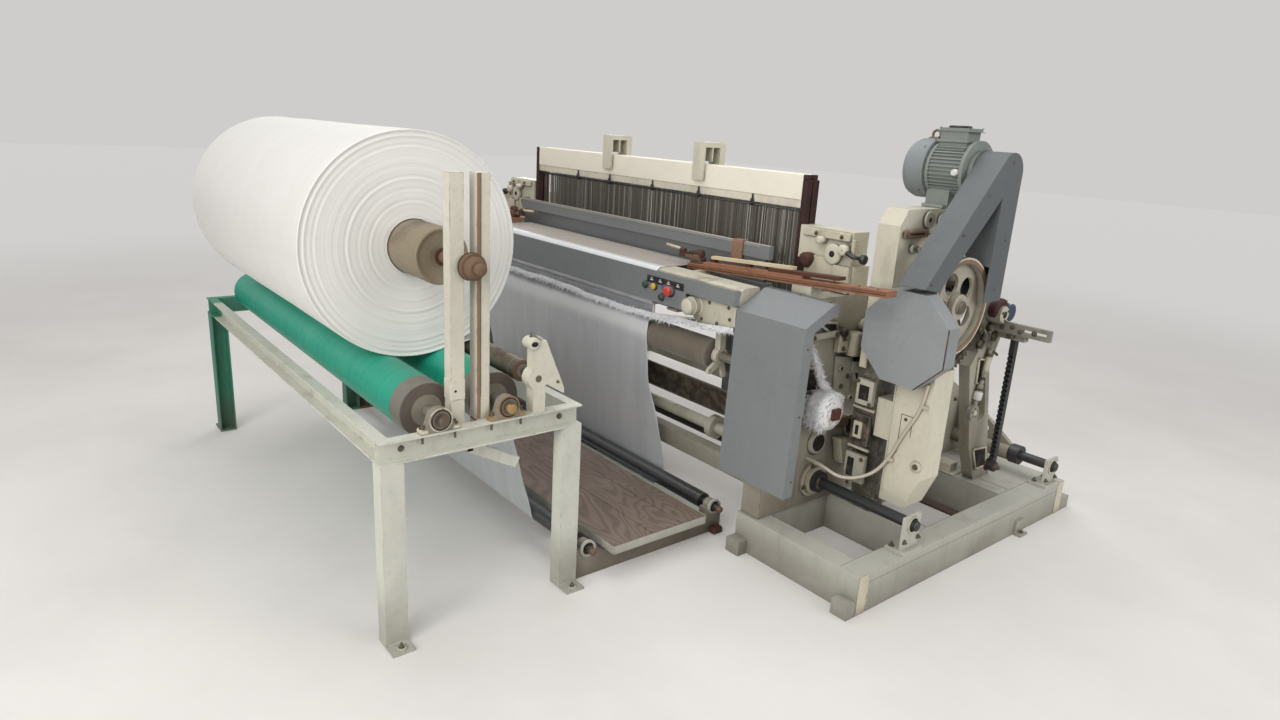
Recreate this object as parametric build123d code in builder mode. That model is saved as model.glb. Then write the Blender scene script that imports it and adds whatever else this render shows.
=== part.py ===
from build123d import *
import os
from math import acos, asin, atan2, cos, degrees, pi, radians, sin, sqrt, tan

# Rapier (shuttleless) loom with its floor-level cloth guide and surface batching winder.
# Millimetres. +X runs to the drive end, +Y from the winder to the back of the loom, +Z up.
# The origin is on the floor below the middle of the whole plant.

os.makedirs("parts", exist_ok=True)

# Running clearances
pin_gap = 0.1
cloth_gap = 0.4
side_gap = 6.0

# Winder rollers, longer than the batch of cloth on them
batch_width = 1530
batch_side_room = 255
drive_roller_half_length = batch_width / 2 + batch_side_room
drive_roller_radius = 91
drive_roller_rubber = 6
drive_roller_sleeve = 80
drive_shaft_radius = 17.5
drive_front_y = -1302
drive_back_y = -1064

# Winder table, of rolled channel
roller_end_room = 107
table_length = 2 * (drive_roller_half_length + roller_end_room)
table_depth = 725
table_top = 700
table_front_y = -1500
channel_height = 75
channel_flange = 40
channel_wall = 6
leg_width = 75
leg_depth = 60
foot_reach = 55
foot_thickness = 10

# Pillow blocks of the winder rollers
pillow_centre_height = 40
pillow_length = 130
pillow_base_height = 14
pillow_ring_radius = 38
pillow_shoulder = 8
pillow_shoulder_rise = 4
pillow_collar_radius = 29
pillow_inset = 4

# Batch of cloth
batch_radius = 388
batch_shift = 85
batch_near_x = batch_width / 2 - batch_shift
batch_far_x = -batch_width / 2 - batch_shift
core_radius = 95
core_wall = 10
core_reach = 130
core_half_length = batch_width / 2 + core_reach
core_plug_thickness = 20
batch_shaft_radius = 19
batch_collar_radius = 42
batch_collar_length = 20
batch_shaft_reach = 25

# Upright guide posts beside the batch shaft
post_top = 1484
post_width = 46
post_depth = 45
post_slot = 42

# Spreader roller and its brackets
spreader_y = -955
spreader_z = 821
spreader_radius = 38
spreader_shaft_radius = 12
bracket_post_width = 46
bracket_post_depth = 45
bracket_height = 250
bracket_nose = 75
bracket_nose_top = 175
bracket_nose_bottom = 195
bracket_root = 150
bracket_stub_radius = 20
bracket_stub_drop = 8

# Floor frame, footboard and low rollers
floor_half_length = table_length / 2 - 17
floor_back_y = -20
floor_rail_height = 90
floor_rail_flange = 45
floor_cross_height = 60
board_reach = 66
board_half_length = floor_half_length + board_reach
board_front_y = -640
board_back_y = -172
board_bottom = 95
board_thickness = 35
board_rest_width = 40
board_rest_front = 30
board_rest_back = 70
floor_cross_front = 90
floor_cross_back = 130
floor_channel_web = 8
low_front_y = -717
low_back_y = -67
low_roller_z = 118
low_roller_radius = 34
low_shaft_radius = 15
low_roller_end_room = 60
low_roller_half_length = floor_half_length - low_roller_end_room
low_block_length = 90
low_block_depth = 36
low_block_ring = 12
low_shaft_end = 30

# Cloth web
web_width = 1520
web_thickness = 2.0
cloth_breast_near_x = 640
cloth_fall_near_x = 700
cloth_rise_near_x = 740
cloth_fell_y = 218
nip_clearance = 26

# Heald frames
heald_front_y = 370
heald_pitch = 48
heald_depth = 22
heald_half_length = 1065
heald_top = 1488
heald_board = 112
heald_bottom = 840
heald_lower_board = 80
heald_stile = 26
heddle_count = 42
heddle_width = 3
heald_guide_gap = 0.5
heald_guide_room = 14
heald_guide_inset = 20
heald_guide_foot = 110
heald_guide_height = 245

# Loom base frames
side_room = 197
side_inner_x = heald_half_length + side_room
base_lap = 5
base_inner_x = side_inner_x - base_lap
base_width = 607
base_outer_x = base_inner_x + base_width
base_front_y = -75
base_back_y = 1482
base_height = 159
base_beam = 90
base_mid_front_y = 390
base_mid_back_y = 1047
base_foot_front_reach = 50
base_foot_back_reach = 89
base_foot_width = 70
base_foot_height = 60
base_mid_foot_y = 1053
base_mid_foot_reach = 36
base_mid_foot_width = 62
base_mid_foot_height = 66

# Loom side frames
side_thickness = 96
side_front_y = -60
side_shoulder_z = 960
side_shoulder_depth = 135
side_top_z = 1040
side_back_y = 1440
side_back_z = 430
side_crest_y = 700
side_knee_y = 900
side_knee_z = 760
side_windows = ((445, 640, 320, 200, 90), (820, 520, 300, 190, 90), (1080, 400, 230, 150, 60))

# Cross members between the side frames
breast_front_y = -62
breast_depth = 110
breast_bottom = 930
breast_top = 1056
cover_front_y = -92
cover_bottom = 914
cover_top = 1050
sheet_wall = 3
hanger_offset = 25
hanger_thickness = 30
hanger_half_depth = 16
hanger_fork_inset = 6
hanger_ring = 14
breast_bracket_inset = 20
breast_bracket_drop = 10
stop_plate_corner = 54
hanger_fork = ((-20, -20), (-62, -52), (-66, -68), (-50, -70), (-8, -44), (8, -60), (22, -96),
               (36, -92), (30, -50), (20, -20))
stop_inset = 143
stop_x = heald_half_length - stop_inset
stop_z = 948
stop_radius = 36
stop_front_y = -128
stop_plate_low = 882
stop_plate_side = 908
stop_plate_top = 985
stop_plate_thickness = 14
cutaway_room = 47
cutaway_x = stop_x - cutaway_room
cutaway_top = 990
button_radius = 13
button_depth = 14
button_places = ((-313, 981), (-251, 983), (-178, 988), (-200, 945))
stop_button = (-145, 982)
stop_button_radius = 20
label_strip = (-303, -65, 996, 1025)
label_thickness = 2
rail_low_y = 70
rail_low_z = 206
rail_height = 80
rail_depth = 60
pan_front_y = 60
pan_back_y = 118
pan_top = 580
pan_bottom = 440
pipe_y = 100
pipe_z = 380
pipe_radius = 26
pipe_flange_x = 900
pipe_flange_width = 34
pipe_flange_radius = 52

# Front covers
front_cover_lap = 109
front_cover_inner_x = side_inner_x - front_cover_lap
front_cover_width = 349
front_cover_outer_x = front_cover_inner_x + front_cover_width
front_cover_bottom = 315
front_cover_shoulder = 978
front_cover_lean = 24
front_cover_top = 1055
front_cover_slope = 150
front_cover_lip = 25
front_cover_wall = 3
front_cover_return = 50
cover_pad_heights = (420, 860)
cover_pad_height = 45
cover_pad_inset = 20

# Take-up and press rollers
takeup_y = -20
takeup_z = 752
takeup_radius = 60
takeup_inset = 65
takeup_half_length = heald_half_length - takeup_inset
takeup_shaft_radius = 20
press_y = 78
press_z = 699
press_radius = 40

# Cross shafts that turn in the side frames, and their bearings on the base frames
shaft_front_y = 247
shaft_front_z = 268
shaft_back_y = 1356
shaft_back_z = 252
cross_shaft_radius = 22
bearing_plate = 14
bearing_inset = 30
bearing_step = 15
bearing_foot = 80
bearing_foot_length = 130
bearing_ring_radius = 36
shaft_hub_radius = 45
shaft_hub_length = 45
outrigger_reach = 388
outrigger_end_x = side_inner_x + outrigger_reach
outrigger_tube_radius = 38
outrigger_web = 26
outrigger_root_top = 470
outrigger_root_width = 40
outrigger_hole_turn = 52
outrigger_holes = ((62, 385, 110, 62), (138, 348, 84, 46))

# Waste selvedge reel on the side frame
reel_y = 190
reel_z = 600
reel_shaft_radius = 12
reel_core = 44
reel_reach = 228
reel_near_x = side_inner_x + reel_reach
yarn_radius = 80

# Sley, swinging on the rocking shaft
rocker_y = 250
rocker_z = 430
rocker_radius = 35
sley_inset = 55
sley_half_length = heald_half_length - sley_inset
sley_depth = 60
race_bottom = 985
race_top = 1030
reed_top = 1130
reed_cap_top = 1187
reed_depth = 26
sword_width = 50
sword_thickness = 40
sword_x = 830
sword_hub_width = 60
sword_hub_ring = 14
reed_inset = 20
reed_thickness = 8

# Posts behind the heald frames, each with a comb over them and a strip in front of them
guide_beam_y = 452
guide_beam_height = 60
guide_beam_depth = 60
guide_beam_drop = 20
guide_post_width = 74
guide_post_depth = 34
guide_post_top = 1588
guide_post_xs = (-318, 408)
guide_comb_drop = 24
guide_strip_thickness = 12
guide_strip_gap = 11
guide_strip_bottom = 1414
guide_slat_thickness = 6
guide_slat_bottom = 1500

# Lever mechanism at the back of the drive end
lever_stand_thickness = 50
lever_stand_outline = (
    (1095, base_height), (1235, base_height), (1178, 310), (1062, 712), (1120, 850), (1120, 1005),
    (992, 1005), (945, 900), (938, 790), (892, 732), (1012, 325),
)
lever_stand_window = (1040, 560, 210, 64, 106)
lever_bracket_drop = 28
lever_bracket_lap = 8
lever_bracket_reach = 60
head_y = 985
head_z = 965
head_radius = 38
head_length = 60
lever_y = 1040
lever_z = 878
lever_height = 48
lever_thickness = 22
lever_slot_reach = 534
lever_slot_x = side_inner_x + lever_slot_reach
lever_slot_length = 104
lever_slot_height = 14
lever_end_gap = 2
rod_foot = (962, 517)
rod_top = (1023, 815)
rod_radius = 9
rod_stand_off = 14
rod_foot_radius = 35
rod_top_radius = 20
notch_bar_reach = 428
notch_bar_x = side_inner_x + notch_bar_reach
notch_bar_width = 22
notch_bar_y = 1066
notch_bar_depth = 32
notch_bar_bottom = 249
notch_count = 22
notch_pitch = 22
notch_depth = 9
notch_start = 60
notch_pin_reach = 6
notch_pin_height = 14
notch_pin_radius = 24

# Rapier wheel covers and their columns
column_reach = 373
column_inner_x = side_inner_x + column_reach
column_width = 160
column_front_y = 330
column_depth = 130
column_bottom = 270
column_top = 830
column_head_top = 1010
column_head_thickness = 8
column_wall = 5
column_corner_width = 50
column_corner_height = 130
column_tie_bottom = 510
column_tie_top = 670
column_tie_front = 15
column_tie_depth = 85
column_head_drop = 60
octagon_inset = 48
octagon_x = column_inner_x + octagon_inset
octagon_z = 947
octagon_across = 350
octagon_depth = 74

# Motor stand, motor and belt guard on the drive side
stand_reach = 199
stand_inner_x = side_inner_x + stand_reach
stand_width = 98
lever_stand_gap = 11
lever_stand_x = stand_inner_x + stand_width + lever_stand_gap
stand_back_y = 790
stand_top = 1400
stand_left_top = 1180
stand_step_low = 480
stand_step_high = 560
stand_back_step = 620
stand_heel_z = 420
stand_corner = 40
stand_corner_drop = 60
stand_boss = 6
stand_boss_wall = 14
motor_y = 690
motor_z = 1545
motor_overhang = 111
motor_far_x = stand_inner_x - motor_overhang
motor_reach = 179
motor_near_x = stand_inner_x + motor_reach
motor_radius = 104
cowl_radius = 116
cowl_length = 95
motor_flange_inset = 30
motor_rib = 9
motor_rib_width = 5
motor_rib_count = 22
motor_seat_half_width = 70
motor_flange = 14
motor_flange_rim = 12
terminal_half_width = 45
terminal_inset = 25
terminal_rise = 42
terminal_cap = 13
terminal_lip = 5
cowl_edge = 28
cowl_edge_depth = 34
guard_seat_depth = 6
guard_inner_x = motor_near_x + guard_seat_depth
guard_width = 110
wheel_y = 530
wheel_z = 1050
wheel_radius = 190
wheel_width = 60
wheel_shaft_radius = 27
wheel_rim = 24
wheel_web = 12
wheel_hub_radius = 50
wheel_hole_radius = 42
wheel_hole_circle = 94

# Pinion on the main shaft and the crank gear that it drives
gear_module = 8
pinion_teeth = 15
crank_teeth = 46
gear_backlash = 0.004
gear_width = 38
gear_side_gap = 12
crank_offset_y = 205
crank_shaft_radius = 25
crank_web = 14
crank_rim = 28
crank_hub_radius = 46
gear_pitch_sum = gear_module * (pinion_teeth + crank_teeth) / 2
crank_y = wheel_y + crank_offset_y
crank_z = wheel_z - sqrt(gear_pitch_sum ** 2 - crank_offset_y ** 2)


def write(builder, name):
    """Label a finished piece and write its file."""
    builder.part.label = name
    export_step(builder.part, "parts/" + name + ".step")


def bar(x_low, x_high, y_low, y_high, z_low, z_high):
    """A rectangular bar between two corners, in the piece being built."""
    centre = ((x_low + x_high) / 2, (y_low + y_high) / 2, (z_low + z_high) / 2)
    with Locations(centre):
        Box(x_high - x_low, y_high - y_low, z_high - z_low)


def round_bar(x_low, x_high, y, z, radius, mode=Mode.ADD):
    """A round bar along X, in the piece being built."""
    with Locations(((x_low + x_high) / 2, y, z)):
        Cylinder(radius, x_high - x_low, rotation=(0, 90, 0), mode=mode)


# Winder table
end_x = table_length / 2
web_x = end_x - channel_flange
table_back_y = table_front_y + table_depth
table_under = table_top - channel_height


def rail_section(tip_y, web_y):
    """Corners of a channel in the YZ plane, its flanges reaching from the web to tip_y."""
    out = 1 if web_y > tip_y else -1
    wall_y = web_y - out * channel_wall
    lower, upper = table_under + channel_wall, table_top - channel_wall
    return [
        (tip_y, table_under), (web_y, table_under), (web_y, table_top), (tip_y, table_top),
        (tip_y, upper), (wall_y, upper), (wall_y, lower), (tip_y, lower),
    ]


with BuildPart() as winder_table:
    for tip_y, web_y in (
        (table_front_y, table_front_y + channel_flange),
        (table_back_y, table_back_y - channel_flange),
    ):
        with BuildSketch(Plane.YZ.offset(-web_x)):
            with BuildLine():
                Polyline(*rail_section(tip_y, web_y), close=True)
            make_face()
        extrude(amount=2 * web_x)
    for side in (1, -1):
        for z in (table_under, table_top - channel_wall):
            bar(*sorted((side * web_x, side * end_x)), table_front_y, table_back_y, z, z + channel_wall)
        bar(*sorted((side * web_x, side * (web_x + channel_wall))), table_front_y, table_back_y,
            table_under, table_top)
write(winder_table, "winder_table")

with BuildPart() as winder_legs:
    leg_inner_x = end_x - leg_depth
    for side in (1, -1):
        for low in (table_front_y, table_back_y - leg_width):
            high = low + leg_width
            bar(*sorted((side * (end_x - channel_wall), side * end_x)), low, high,
                foot_thickness, table_under)
            for wall in (low, high - channel_wall):
                bar(*sorted((side * leg_inner_x, side * end_x)), wall, wall + channel_wall,
                    foot_thickness, table_under)
            bar(*sorted((side * leg_inner_x, side * (end_x + foot_reach))), low, high, 0,
                foot_thickness)
write(winder_legs, "winder_legs")

# Drive rollers of the winder
roller_z = table_top + pillow_centre_height
pillow_waist = pillow_ring_radius + pillow_shoulder
with BuildPart() as pillow_blocks:
    for low in (web_x, -end_x):
        high = low + channel_flange
        for y in (drive_front_y, drive_back_y):
            half = pillow_length / 2
            with BuildSketch(Plane.YZ.offset(low + pillow_inset)):
                with BuildLine():
                    Polyline(
                        (y - half, table_top), (y + half, table_top),
                        (y + half, table_top + pillow_base_height),
                        (y + pillow_waist, table_top + pillow_base_height + pillow_shoulder_rise),
                        (y + pillow_ring_radius, roller_z), (y - pillow_ring_radius, roller_z),
                        (y - pillow_waist, table_top + pillow_base_height + pillow_shoulder_rise),
                        (y - half, table_top + pillow_base_height), close=True,
                    )
                make_face()
            extrude(amount=channel_flange - 2 * pillow_inset)
            round_bar(low + pillow_inset, high - pillow_inset, y, roller_z, pillow_ring_radius)
            round_bar(low, high, y, roller_z, pillow_collar_radius)
            round_bar(low, high, y, roller_z, drive_shaft_radius + pin_gap, Mode.SUBTRACT)
write(pillow_blocks, "pillow_blocks")

sleeve_x = drive_roller_half_length - drive_roller_sleeve


def drive_core(y):
    """Steel core of a drive roller with its bare end sleeve and shaft."""
    with BuildPart() as core:
        round_bar(-end_x, end_x, y, roller_z, drive_shaft_radius)
        round_bar(-drive_roller_half_length, drive_roller_half_length, y, roller_z,
                  drive_roller_radius - drive_roller_rubber)
        round_bar(sleeve_x, drive_roller_half_length, y, roller_z, drive_roller_radius)
    return core


def drive_cover(y):
    """Green rubber cover of a drive roller."""
    with BuildPart() as cover:
        round_bar(-drive_roller_half_length, sleeve_x, y, roller_z, drive_roller_radius)
        round_bar(-drive_roller_half_length, sleeve_x, y, roller_z,
                  drive_roller_radius - drive_roller_rubber, Mode.SUBTRACT)
    return cover


front_roller_core = drive_core(drive_front_y)
write(front_roller_core, "front_roller_core")
front_roller_rubber = drive_cover(drive_front_y)
write(front_roller_rubber, "front_roller_rubber")
back_roller_core = drive_core(drive_back_y)
write(back_roller_core, "back_roller_core")
back_roller_rubber = drive_cover(drive_back_y)
write(back_roller_rubber, "back_roller_rubber")

# Batch of cloth, resting on both drive rollers
batch_y = (drive_front_y + drive_back_y) / 2
roller_reach = batch_radius + drive_roller_radius + cloth_gap
batch_z = roller_z + sqrt(roller_reach ** 2 - ((drive_back_y - drive_front_y) / 2) ** 2)

with BuildPart() as batch_cloth:
    round_bar(batch_far_x, batch_near_x, batch_y, batch_z, batch_radius)
    round_bar(batch_far_x, batch_near_x, batch_y, batch_z, core_radius, Mode.SUBTRACT)
write(batch_cloth, "batch_cloth")

collar_x = web_x + side_gap

with BuildPart() as batch_core:
    round_bar(-core_half_length, core_half_length, batch_y, batch_z, core_radius)
    round_bar(-core_half_length, core_half_length, batch_y, batch_z, core_radius - core_wall, Mode.SUBTRACT)
    for side in (core_half_length - core_plug_thickness, -core_half_length):
        round_bar(side, side + core_plug_thickness, batch_y, batch_z, core_radius - core_wall)
write(batch_core, "batch_core")

with BuildPart() as batch_shaft:
    for inner, side in ((core_half_length, 1), (-core_half_length, -1)):
        tip = side * (collar_x + batch_collar_length + batch_shaft_reach)
        round_bar(*sorted((inner, tip)), batch_y, batch_z, batch_shaft_radius)
        round_bar(*sorted((side * collar_x, side * (collar_x + batch_collar_length))),
                  batch_y, batch_z, batch_collar_radius)
write(batch_shaft, "batch_shaft")

# Guide posts beside the batch shaft
slot_low = batch_y - post_slot / 2
slot_high = batch_y + post_slot / 2


with BuildPart() as guide_posts:
    for low, high in ((web_x - post_depth, web_x), (-web_x, post_depth - web_x)):
        for y in (slot_low - post_width, slot_high):
            bar(low, high, y, y + post_width, table_under, post_top)
write(guide_posts, "guide_posts")

# Spreader roller
spreader_end = drive_roller_half_length
with BuildPart() as spreader_roller:
    round_bar(-spreader_end, spreader_end, spreader_y, spreader_z, spreader_radius)
    round_bar(-end_x, end_x, spreader_y, spreader_z, spreader_shaft_radius)
write(spreader_roller, "spreader_roller")


with BuildPart() as spreader_brackets:
    bracket_front = spreader_y - spreader_radius / 2
    bracket_back = bracket_front + bracket_post_width
    bracket_top = table_top + bracket_height
    for low in (end_x - bracket_post_depth, -end_x):
        high = low + bracket_post_depth
        bar(low, high, bracket_front, bracket_back, table_top, bracket_top)
        round_bar(low, high, spreader_y, spreader_z, spreader_radius)
        with BuildSketch(Plane.YZ.offset(low)):
            with BuildLine():
                Polyline((bracket_back, bracket_top),
                         (bracket_back + bracket_nose, bracket_top - bracket_nose_top),
                         (bracket_back + bracket_nose, bracket_top - bracket_nose_bottom),
                         (bracket_back, bracket_top - bracket_root),
                         close=True)
            make_face()
        extrude(amount=bracket_post_depth)
        round_bar(low, high, bracket_front, bracket_top - bracket_stub_drop, bracket_stub_radius)
        round_bar(low, high, spreader_y, spreader_z, spreader_shaft_radius + pin_gap, Mode.SUBTRACT)
write(spreader_brackets, "spreader_brackets")

# Floor frame under the footboard, its rails butted against the back legs of the winder
floor_front_y = table_back_y
board_top = board_bottom + board_thickness
with BuildPart() as floor_frame:
    for side in (1, -1):
        outer = side * floor_half_length
        inner = side * (floor_half_length - floor_rail_flange)
        bar(*sorted((outer, inner)), floor_front_y, floor_back_y, 0, 8)
        bar(*sorted((outer, inner)), floor_front_y, floor_back_y, floor_rail_height - floor_channel_web,
            floor_rail_height)
        bar(*sorted((outer, side * (floor_half_length - floor_channel_web))), floor_front_y, floor_back_y, 0,
            floor_rail_height)
        for y in (board_front_y + board_rest_front, board_back_y - board_rest_back):
            bar(*sorted((outer, inner)), y, y + board_rest_width, floor_rail_height,
                board_bottom)
    for y in (board_front_y + floor_cross_front, board_back_y - floor_cross_back):
        bar(-floor_half_length, floor_half_length, y, y + board_rest_width, 0, floor_cross_height)
    for side in (1, -1):
        low, high = sorted((side * floor_half_length, side * (floor_half_length - low_block_depth)))
        for y in (low_front_y, low_back_y):
            bar(low, high, y - low_block_length / 2, y + low_block_length / 2, floor_rail_height,
                low_roller_z)
            round_bar(low, high, y, low_roller_z, low_shaft_radius + low_block_ring)
            round_bar(low, high, y, low_roller_z, low_shaft_radius + pin_gap, Mode.SUBTRACT)
write(floor_frame, "floor_frame")

with BuildPart() as footboard:
    bar(-board_half_length, board_half_length, board_front_y, board_back_y, board_bottom, board_top)
write(footboard, "footboard")


def low_roller(y):
    """Plain steel roller near the floor with its turned-down shaft ends."""
    with BuildPart() as roller:
        round_bar(-low_roller_half_length, low_roller_half_length, y, low_roller_z, low_roller_radius)
        shaft_end = floor_half_length + low_shaft_end
        round_bar(-shaft_end, shaft_end, y, low_roller_z, low_shaft_radius)
    return roller


low_roller_front = low_roller(low_front_y)
write(low_roller_front, "low_roller_front")
low_roller_back = low_roller(low_back_y)
write(low_roller_back, "low_roller_back")

# Path of the cloth from the reed to the batch, in the YZ plane. Each roller is its centre and
# the distance of the cloth's middle line from it, positive where it lies left of the cloth.
lay_off = cloth_gap + web_thickness / 2
nose_radius = 30
nose_y = breast_front_y + nose_radius
nose_z = breast_top - nose_radius
cloth_nose = (nose_y, nose_z, nose_radius + lay_off)
cloth_takeup = (takeup_y, takeup_z, takeup_radius + lay_off)
cloth_low_back = (low_back_y, low_roller_z, -(low_roller_radius + lay_off))
cloth_low_front = (low_front_y, low_roller_z, -(low_roller_radius + lay_off))
cloth_spreader = (spreader_y, spreader_z, spreader_radius + lay_off)
cloth_batch = (batch_y, batch_z, -(batch_radius + lay_off))


def cloth_line(first, second):
    """Points where the cloth leaves the first roller and meets the second."""
    reach = Vector(second[0] - first[0], second[1] - first[1])
    turn = degrees(acos((second[2] - first[2]) / reach.length))
    normal = reach.normalized().rotate(Axis.Z, turn)
    leaves = Vector(first[0], first[1]) - normal * first[2]
    meets = Vector(second[0], second[1]) - normal * second[2]
    return leaves, meets


def crossing(line_a, line_b):
    """Where two lines in the YZ plane cross."""
    start, along = line_a[0], line_a[1] - line_a[0]
    other, across = line_b[0], line_b[1] - line_b[0]
    share = (other - start).cross(across).Z / along.cross(across).Z
    return start + along * share


def cloth_sheet(points, radii, near_x):
    """A web whose middle line runs through points, with an arc of the given radius at each corner."""
    far_x = near_x - web_width
    start, second = points[0], points[1]
    heading = Vector(0, second.X - start.X, second.Y - start.Y)
    with BuildPart() as sheet:
        with BuildLine():
            FilletPolyline(*[(far_x, point.X, point.Y) for point in points], radius=radii)
        with BuildSketch(Plane(origin=(far_x, start.X, start.Y), x_dir=(1, 0, 0), z_dir=heading)):
            Rectangle(web_width, web_thickness, align=(Align.MIN, Align.CENTER))
        sweep()
    return sheet


cloth_level = breast_top + lay_off
level_line = (Vector(cloth_fell_y, cloth_level), Vector(nose_y, cloth_level))
over_nose = cloth_line(cloth_nose, cloth_takeup)
falling = cloth_line(cloth_takeup, cloth_low_back)
under_board = cloth_line(cloth_low_back, cloth_low_front)
rising = cloth_line(cloth_low_front, cloth_spreader)
to_batch = cloth_line(cloth_spreader, cloth_batch)
behind_cover = (over_nose[0] + over_nose[1]) / 2
below_board = (under_board[0] + under_board[1]) / 2
batch_run = to_batch[1] - to_batch[0]
cloth_end = to_batch[1] - batch_run.normalized() * nip_clearance

cloth_breast = cloth_sheet(
    [level_line[0], crossing(level_line, over_nose), behind_cover],
    [cloth_nose[2]],
    cloth_breast_near_x,
)
write(cloth_breast, "cloth_breast")
cloth_fall = cloth_sheet(
    [behind_cover, crossing(over_nose, falling), crossing(falling, under_board), below_board],
    [cloth_takeup[2], -cloth_low_back[2]],
    cloth_fall_near_x,
)
write(cloth_fall, "cloth_fall")
cloth_rise = cloth_sheet(
    [below_board, crossing(under_board, rising), crossing(rising, to_batch), cloth_end],
    [-cloth_low_front[2], cloth_spreader[2]],
    cloth_rise_near_x,
)
write(cloth_rise, "cloth_rise")


# Base frames of the loom, one at each end
def base_frame(side):
    """Welded frame of deep beams with corner feet, lying on the floor."""
    outer, inner = side * base_outer_x, side * base_inner_x
    beams = (
        (base_front_y, base_front_y + base_beam),
        (base_mid_front_y, base_mid_front_y + base_beam),
        (base_mid_back_y, base_back_y),
    )
    with BuildPart() as frame:
        for low, high in ((inner, inner + side * base_beam), (outer - side * base_beam, outer)):
            bar(*sorted((low, high)), base_front_y, base_back_y, 0, base_height)
        for low, high in beams:
            bar(*sorted((inner, outer)), low, high, 0, base_height)
        for x in (inner, outer - side * base_foot_width):
            bar(*sorted((x, x + side * base_foot_width)), base_front_y - base_foot_front_reach,
                base_front_y, 0, base_foot_height)
            bar(*sorted((x, x + side * base_foot_width)), base_back_y,
                base_back_y + base_foot_back_reach, 0, base_foot_height)
        bar(*sorted((outer, outer + side * base_mid_foot_reach)), base_mid_foot_y,
            base_mid_foot_y + base_mid_foot_width, 0, foot_thickness)
        bar(*sorted((outer, outer + side * foot_thickness)), base_mid_foot_y,
            base_mid_foot_y + base_mid_foot_width, 0, base_mid_foot_height)
        for y, z in ((shaft_front_y, shaft_front_z), (shaft_back_y, shaft_back_z)):
            half = bearing_foot_length / 2
            plate_x = base_outer_x - bearing_inset
            plate = sorted((side * plate_x, side * (plate_x + bearing_plate)))
            bar(*sorted((outer - side * bearing_foot, outer)), y - half, y + half, base_height,
                base_height + bearing_plate)
            bar(*plate, y - half + bearing_step, y + half - bearing_step, base_height,
                z + bearing_ring_radius)
            round_bar(*plate, y, z, bearing_ring_radius)
            round_bar(*plate, y, z, cross_shaft_radius + pin_gap, Mode.SUBTRACT)
    return frame


base_frame_right = base_frame(1)
write(base_frame_right, "base_frame_right")
base_frame_left = base_frame(-1)
write(base_frame_left, "base_frame_left")


# Cast side frames
def side_frame(side):
    """Cast plate standing on the base frame, pierced by its windows and shaft bores."""
    low, high = sorted((side * side_inner_x, side * (side_inner_x + side_thickness)))
    with BuildPart() as casting:
        with BuildSketch(Plane.YZ.offset(low)):
            with BuildLine():
                Polyline(
                    (side_front_y, base_height), (side_front_y, side_shoulder_z),
                    (side_front_y + side_shoulder_depth, side_top_z), (side_crest_y, side_top_z),
                    (side_knee_y, side_knee_z), (side_back_y, side_back_z), (side_back_y, base_height),
                    close=True,
                )
            make_face()
            for y, z, long, wide, turn in side_windows:
                with Locations((y, z)):
                    SlotOverall(long, wide, rotation=turn, mode=Mode.SUBTRACT)
        extrude(amount=high - low)
        inner_shoulder = front_cover_shoulder - front_cover_wall
        lean = front_cover_lean / (inner_shoulder - front_cover_bottom)
        for z_low in cover_pad_heights:
            z_high = z_low + cover_pad_height
            faces = [base_front_y + front_cover_wall - lean * (inner_shoulder - z) for z in (z_low, z_high)]
            with BuildSketch(Plane.YZ.offset(low + cover_pad_inset)):
                with BuildLine():
                    Polyline((side_front_y, z_low), (faces[0], z_low), (faces[1], z_high),
                             (side_front_y, z_high), close=True)
                make_face()
            extrude(amount=side_thickness - 2 * cover_pad_inset)
        bores = (
            (takeup_y, takeup_z, takeup_shaft_radius),
            (press_y, press_z, takeup_shaft_radius),
            (rocker_y, rocker_z, rocker_radius),
            (shaft_front_y, shaft_front_z, cross_shaft_radius),
            (shaft_back_y, shaft_back_z, cross_shaft_radius),
            (reel_y, reel_z, reel_shaft_radius),
        )
        for y, z, radius in bores:
            round_bar(low, high, y, z, radius + pin_gap, Mode.SUBTRACT)
    return casting


side_frame_right = side_frame(1)
write(side_frame_right, "side_frame_right")
side_frame_left = side_frame(-1)
write(side_frame_left, "side_frame_left")
side_outer_x = side_inner_x + side_thickness

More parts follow.
